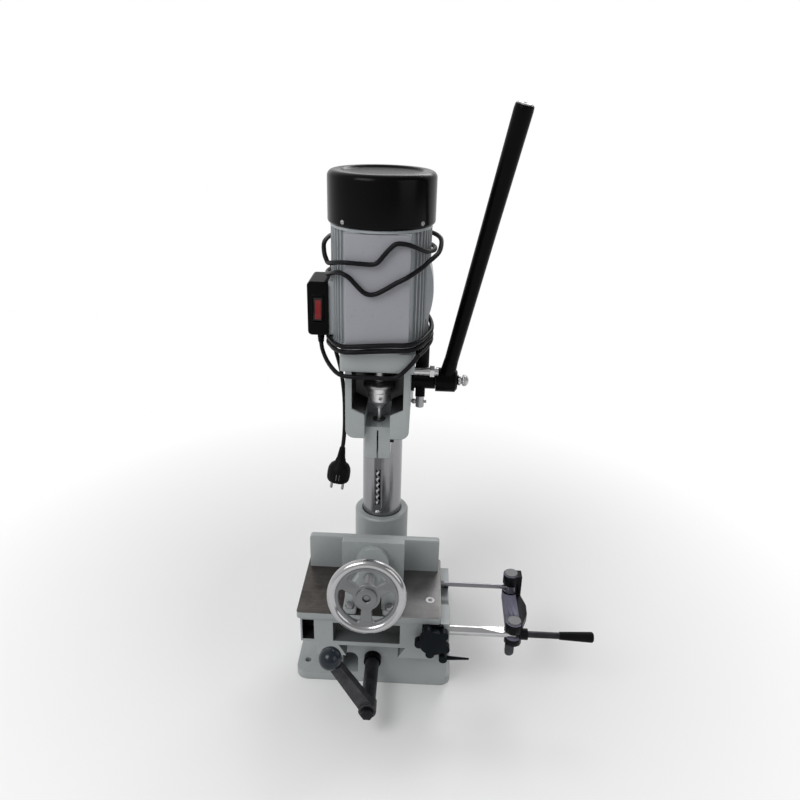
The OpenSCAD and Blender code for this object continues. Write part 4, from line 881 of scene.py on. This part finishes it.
def softened(node, width):
    source = frame["nodes"][node]
    piece = bpy.data.objects.new(node + "Soft", source.data.copy())
    scene.collection.objects.link(piece)
    bpy.ops.object.select_all(action="DESELECT")
    piece.select_set(True)
    bpy.context.view_layer.objects.active = piece
    bpy.ops.mesh.customdata_custom_splitnormals_clear()
    openEdit(piece)
    bpy.ops.mesh.select_all(action="SELECT")
    bpy.ops.mesh.remove_doubles(threshold=0.00002)
    bpy.ops.mesh.dissolve_limited(angle_limit=math.radians(0.6))
    closeEdit()
    modified(piece, "BEVEL", width=width, segments=3, limit_method="ANGLE", angle_limit=math.radians(35),
             use_clamp_overlap=True, miter_outer="MITER_ARC")
    settle(piece, source["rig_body"], finishes[node], 35)
    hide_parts(node)
    return piece


for node, (width, slotName) in softEdges.items():
    softened(node, width)
print("castings softened")

# floor and light

studio = {"floor": (0.84, 0.84, 0.84), "dark": 0.16, "bright": 0.80, "near": 0.34, "far": 0.95,
          "key": 26, "fill": 8, "rim": 12}


def seenRays(board):  # three switches, each 1 for its own kind of ray
    kinds = ("Camera", "Glossy", "Transmission")
    return [board.add("ShaderNodeLightPath", {}, {}, "Is %s Ray" % kind) for kind in kinds]


bpy.ops.object.select_all(action="DESELECT")
bpy.ops.mesh.primitive_plane_add(size=9, location=(0, 1.2, -0.0005))
floor = bpy.context.object
floor.name = "floor"
paper = Board("floorPaper")
floor.data.materials.append(paper.finish(colour=studio["floor"], rough=0.8))
flatPlace = paper.placed((1, 1, 0), (0, 0, 0), (0, 1.2, 0))
away = paper.add("ShaderNodeVectorMath", {"operation": "LENGTH"}, {0: flatPlace}, "Value")
cameraSees, glossySees, glassSees = seenRays(paper)
plainWhite = paper.add("ShaderNodeEmission", {}, {"Color": (1, 1, 1), "Strength": 1.0})
# near the object the paper keeps its shadow, further off it fades to the white of the background
shown = (cameraSees + glossySees + glassSees).clamped() * away.above(studio["near"], studio["far"])
mixed = paper.add("ShaderNodeMixShader", {}, {0: shown, 2: plainWhite})
paper.tree.links.new(paper.shader.outputs[0], mixed.socket.node.inputs[1])
paper.tree.links.new(mixed.socket, paper.tree.nodes["Material Output"].inputs["Surface"])

scene.world = bpy.data.worlds.new("world")
sky = Board("sky", scene.world)
cameraSees, glossySees, glassSees = seenRays(sky)
side, depth = sky.axis("X"), sky.axis("Y")
soft = (0.9 - side) * ((studio["bright"] - studio["dark"]) / 1.8) + studio["dark"]
white = (cameraSees + glassSees + glossySees * depth.above(0.1, 0.6)).clamped()
sky.feed(sky.shader.inputs["Strength"], soft * (1 - white) + white)
sky.feed(sky.shader.inputs["Color"], (1, 1, 1))


def lamp(name, power, size, place, target):
    light = bpy.data.lights.new(name, "AREA")
    light.energy = power
    light.shape = "RECTANGLE"
    light.size, light.size_y = size
    thing = bpy.data.objects.new(name, light)
    scene.collection.objects.link(thing)
    thing.location = place
    thing.rotation_mode = "QUATERNION"
    thing.rotation_quaternion = (Vector(target) - Vector(place)).to_track_quat("-Z", "Y")
    return thing


lamp("key", studio["key"], (1.2, 1.2), (-1.1, -1.5, 2.1), (0, -0.1, 0.45))
lamp("fill", studio["fill"], (1.4, 1.4), (1.7, -1.2, 1.2), (0, -0.1, 0.4))
lamp("rim", studio["rim"], (1.0, 0.6), (0.6, 1.5, 1.9), (0, 0, 0.5))
scene.view_settings.view_transform = "Standard"
print("lights set")
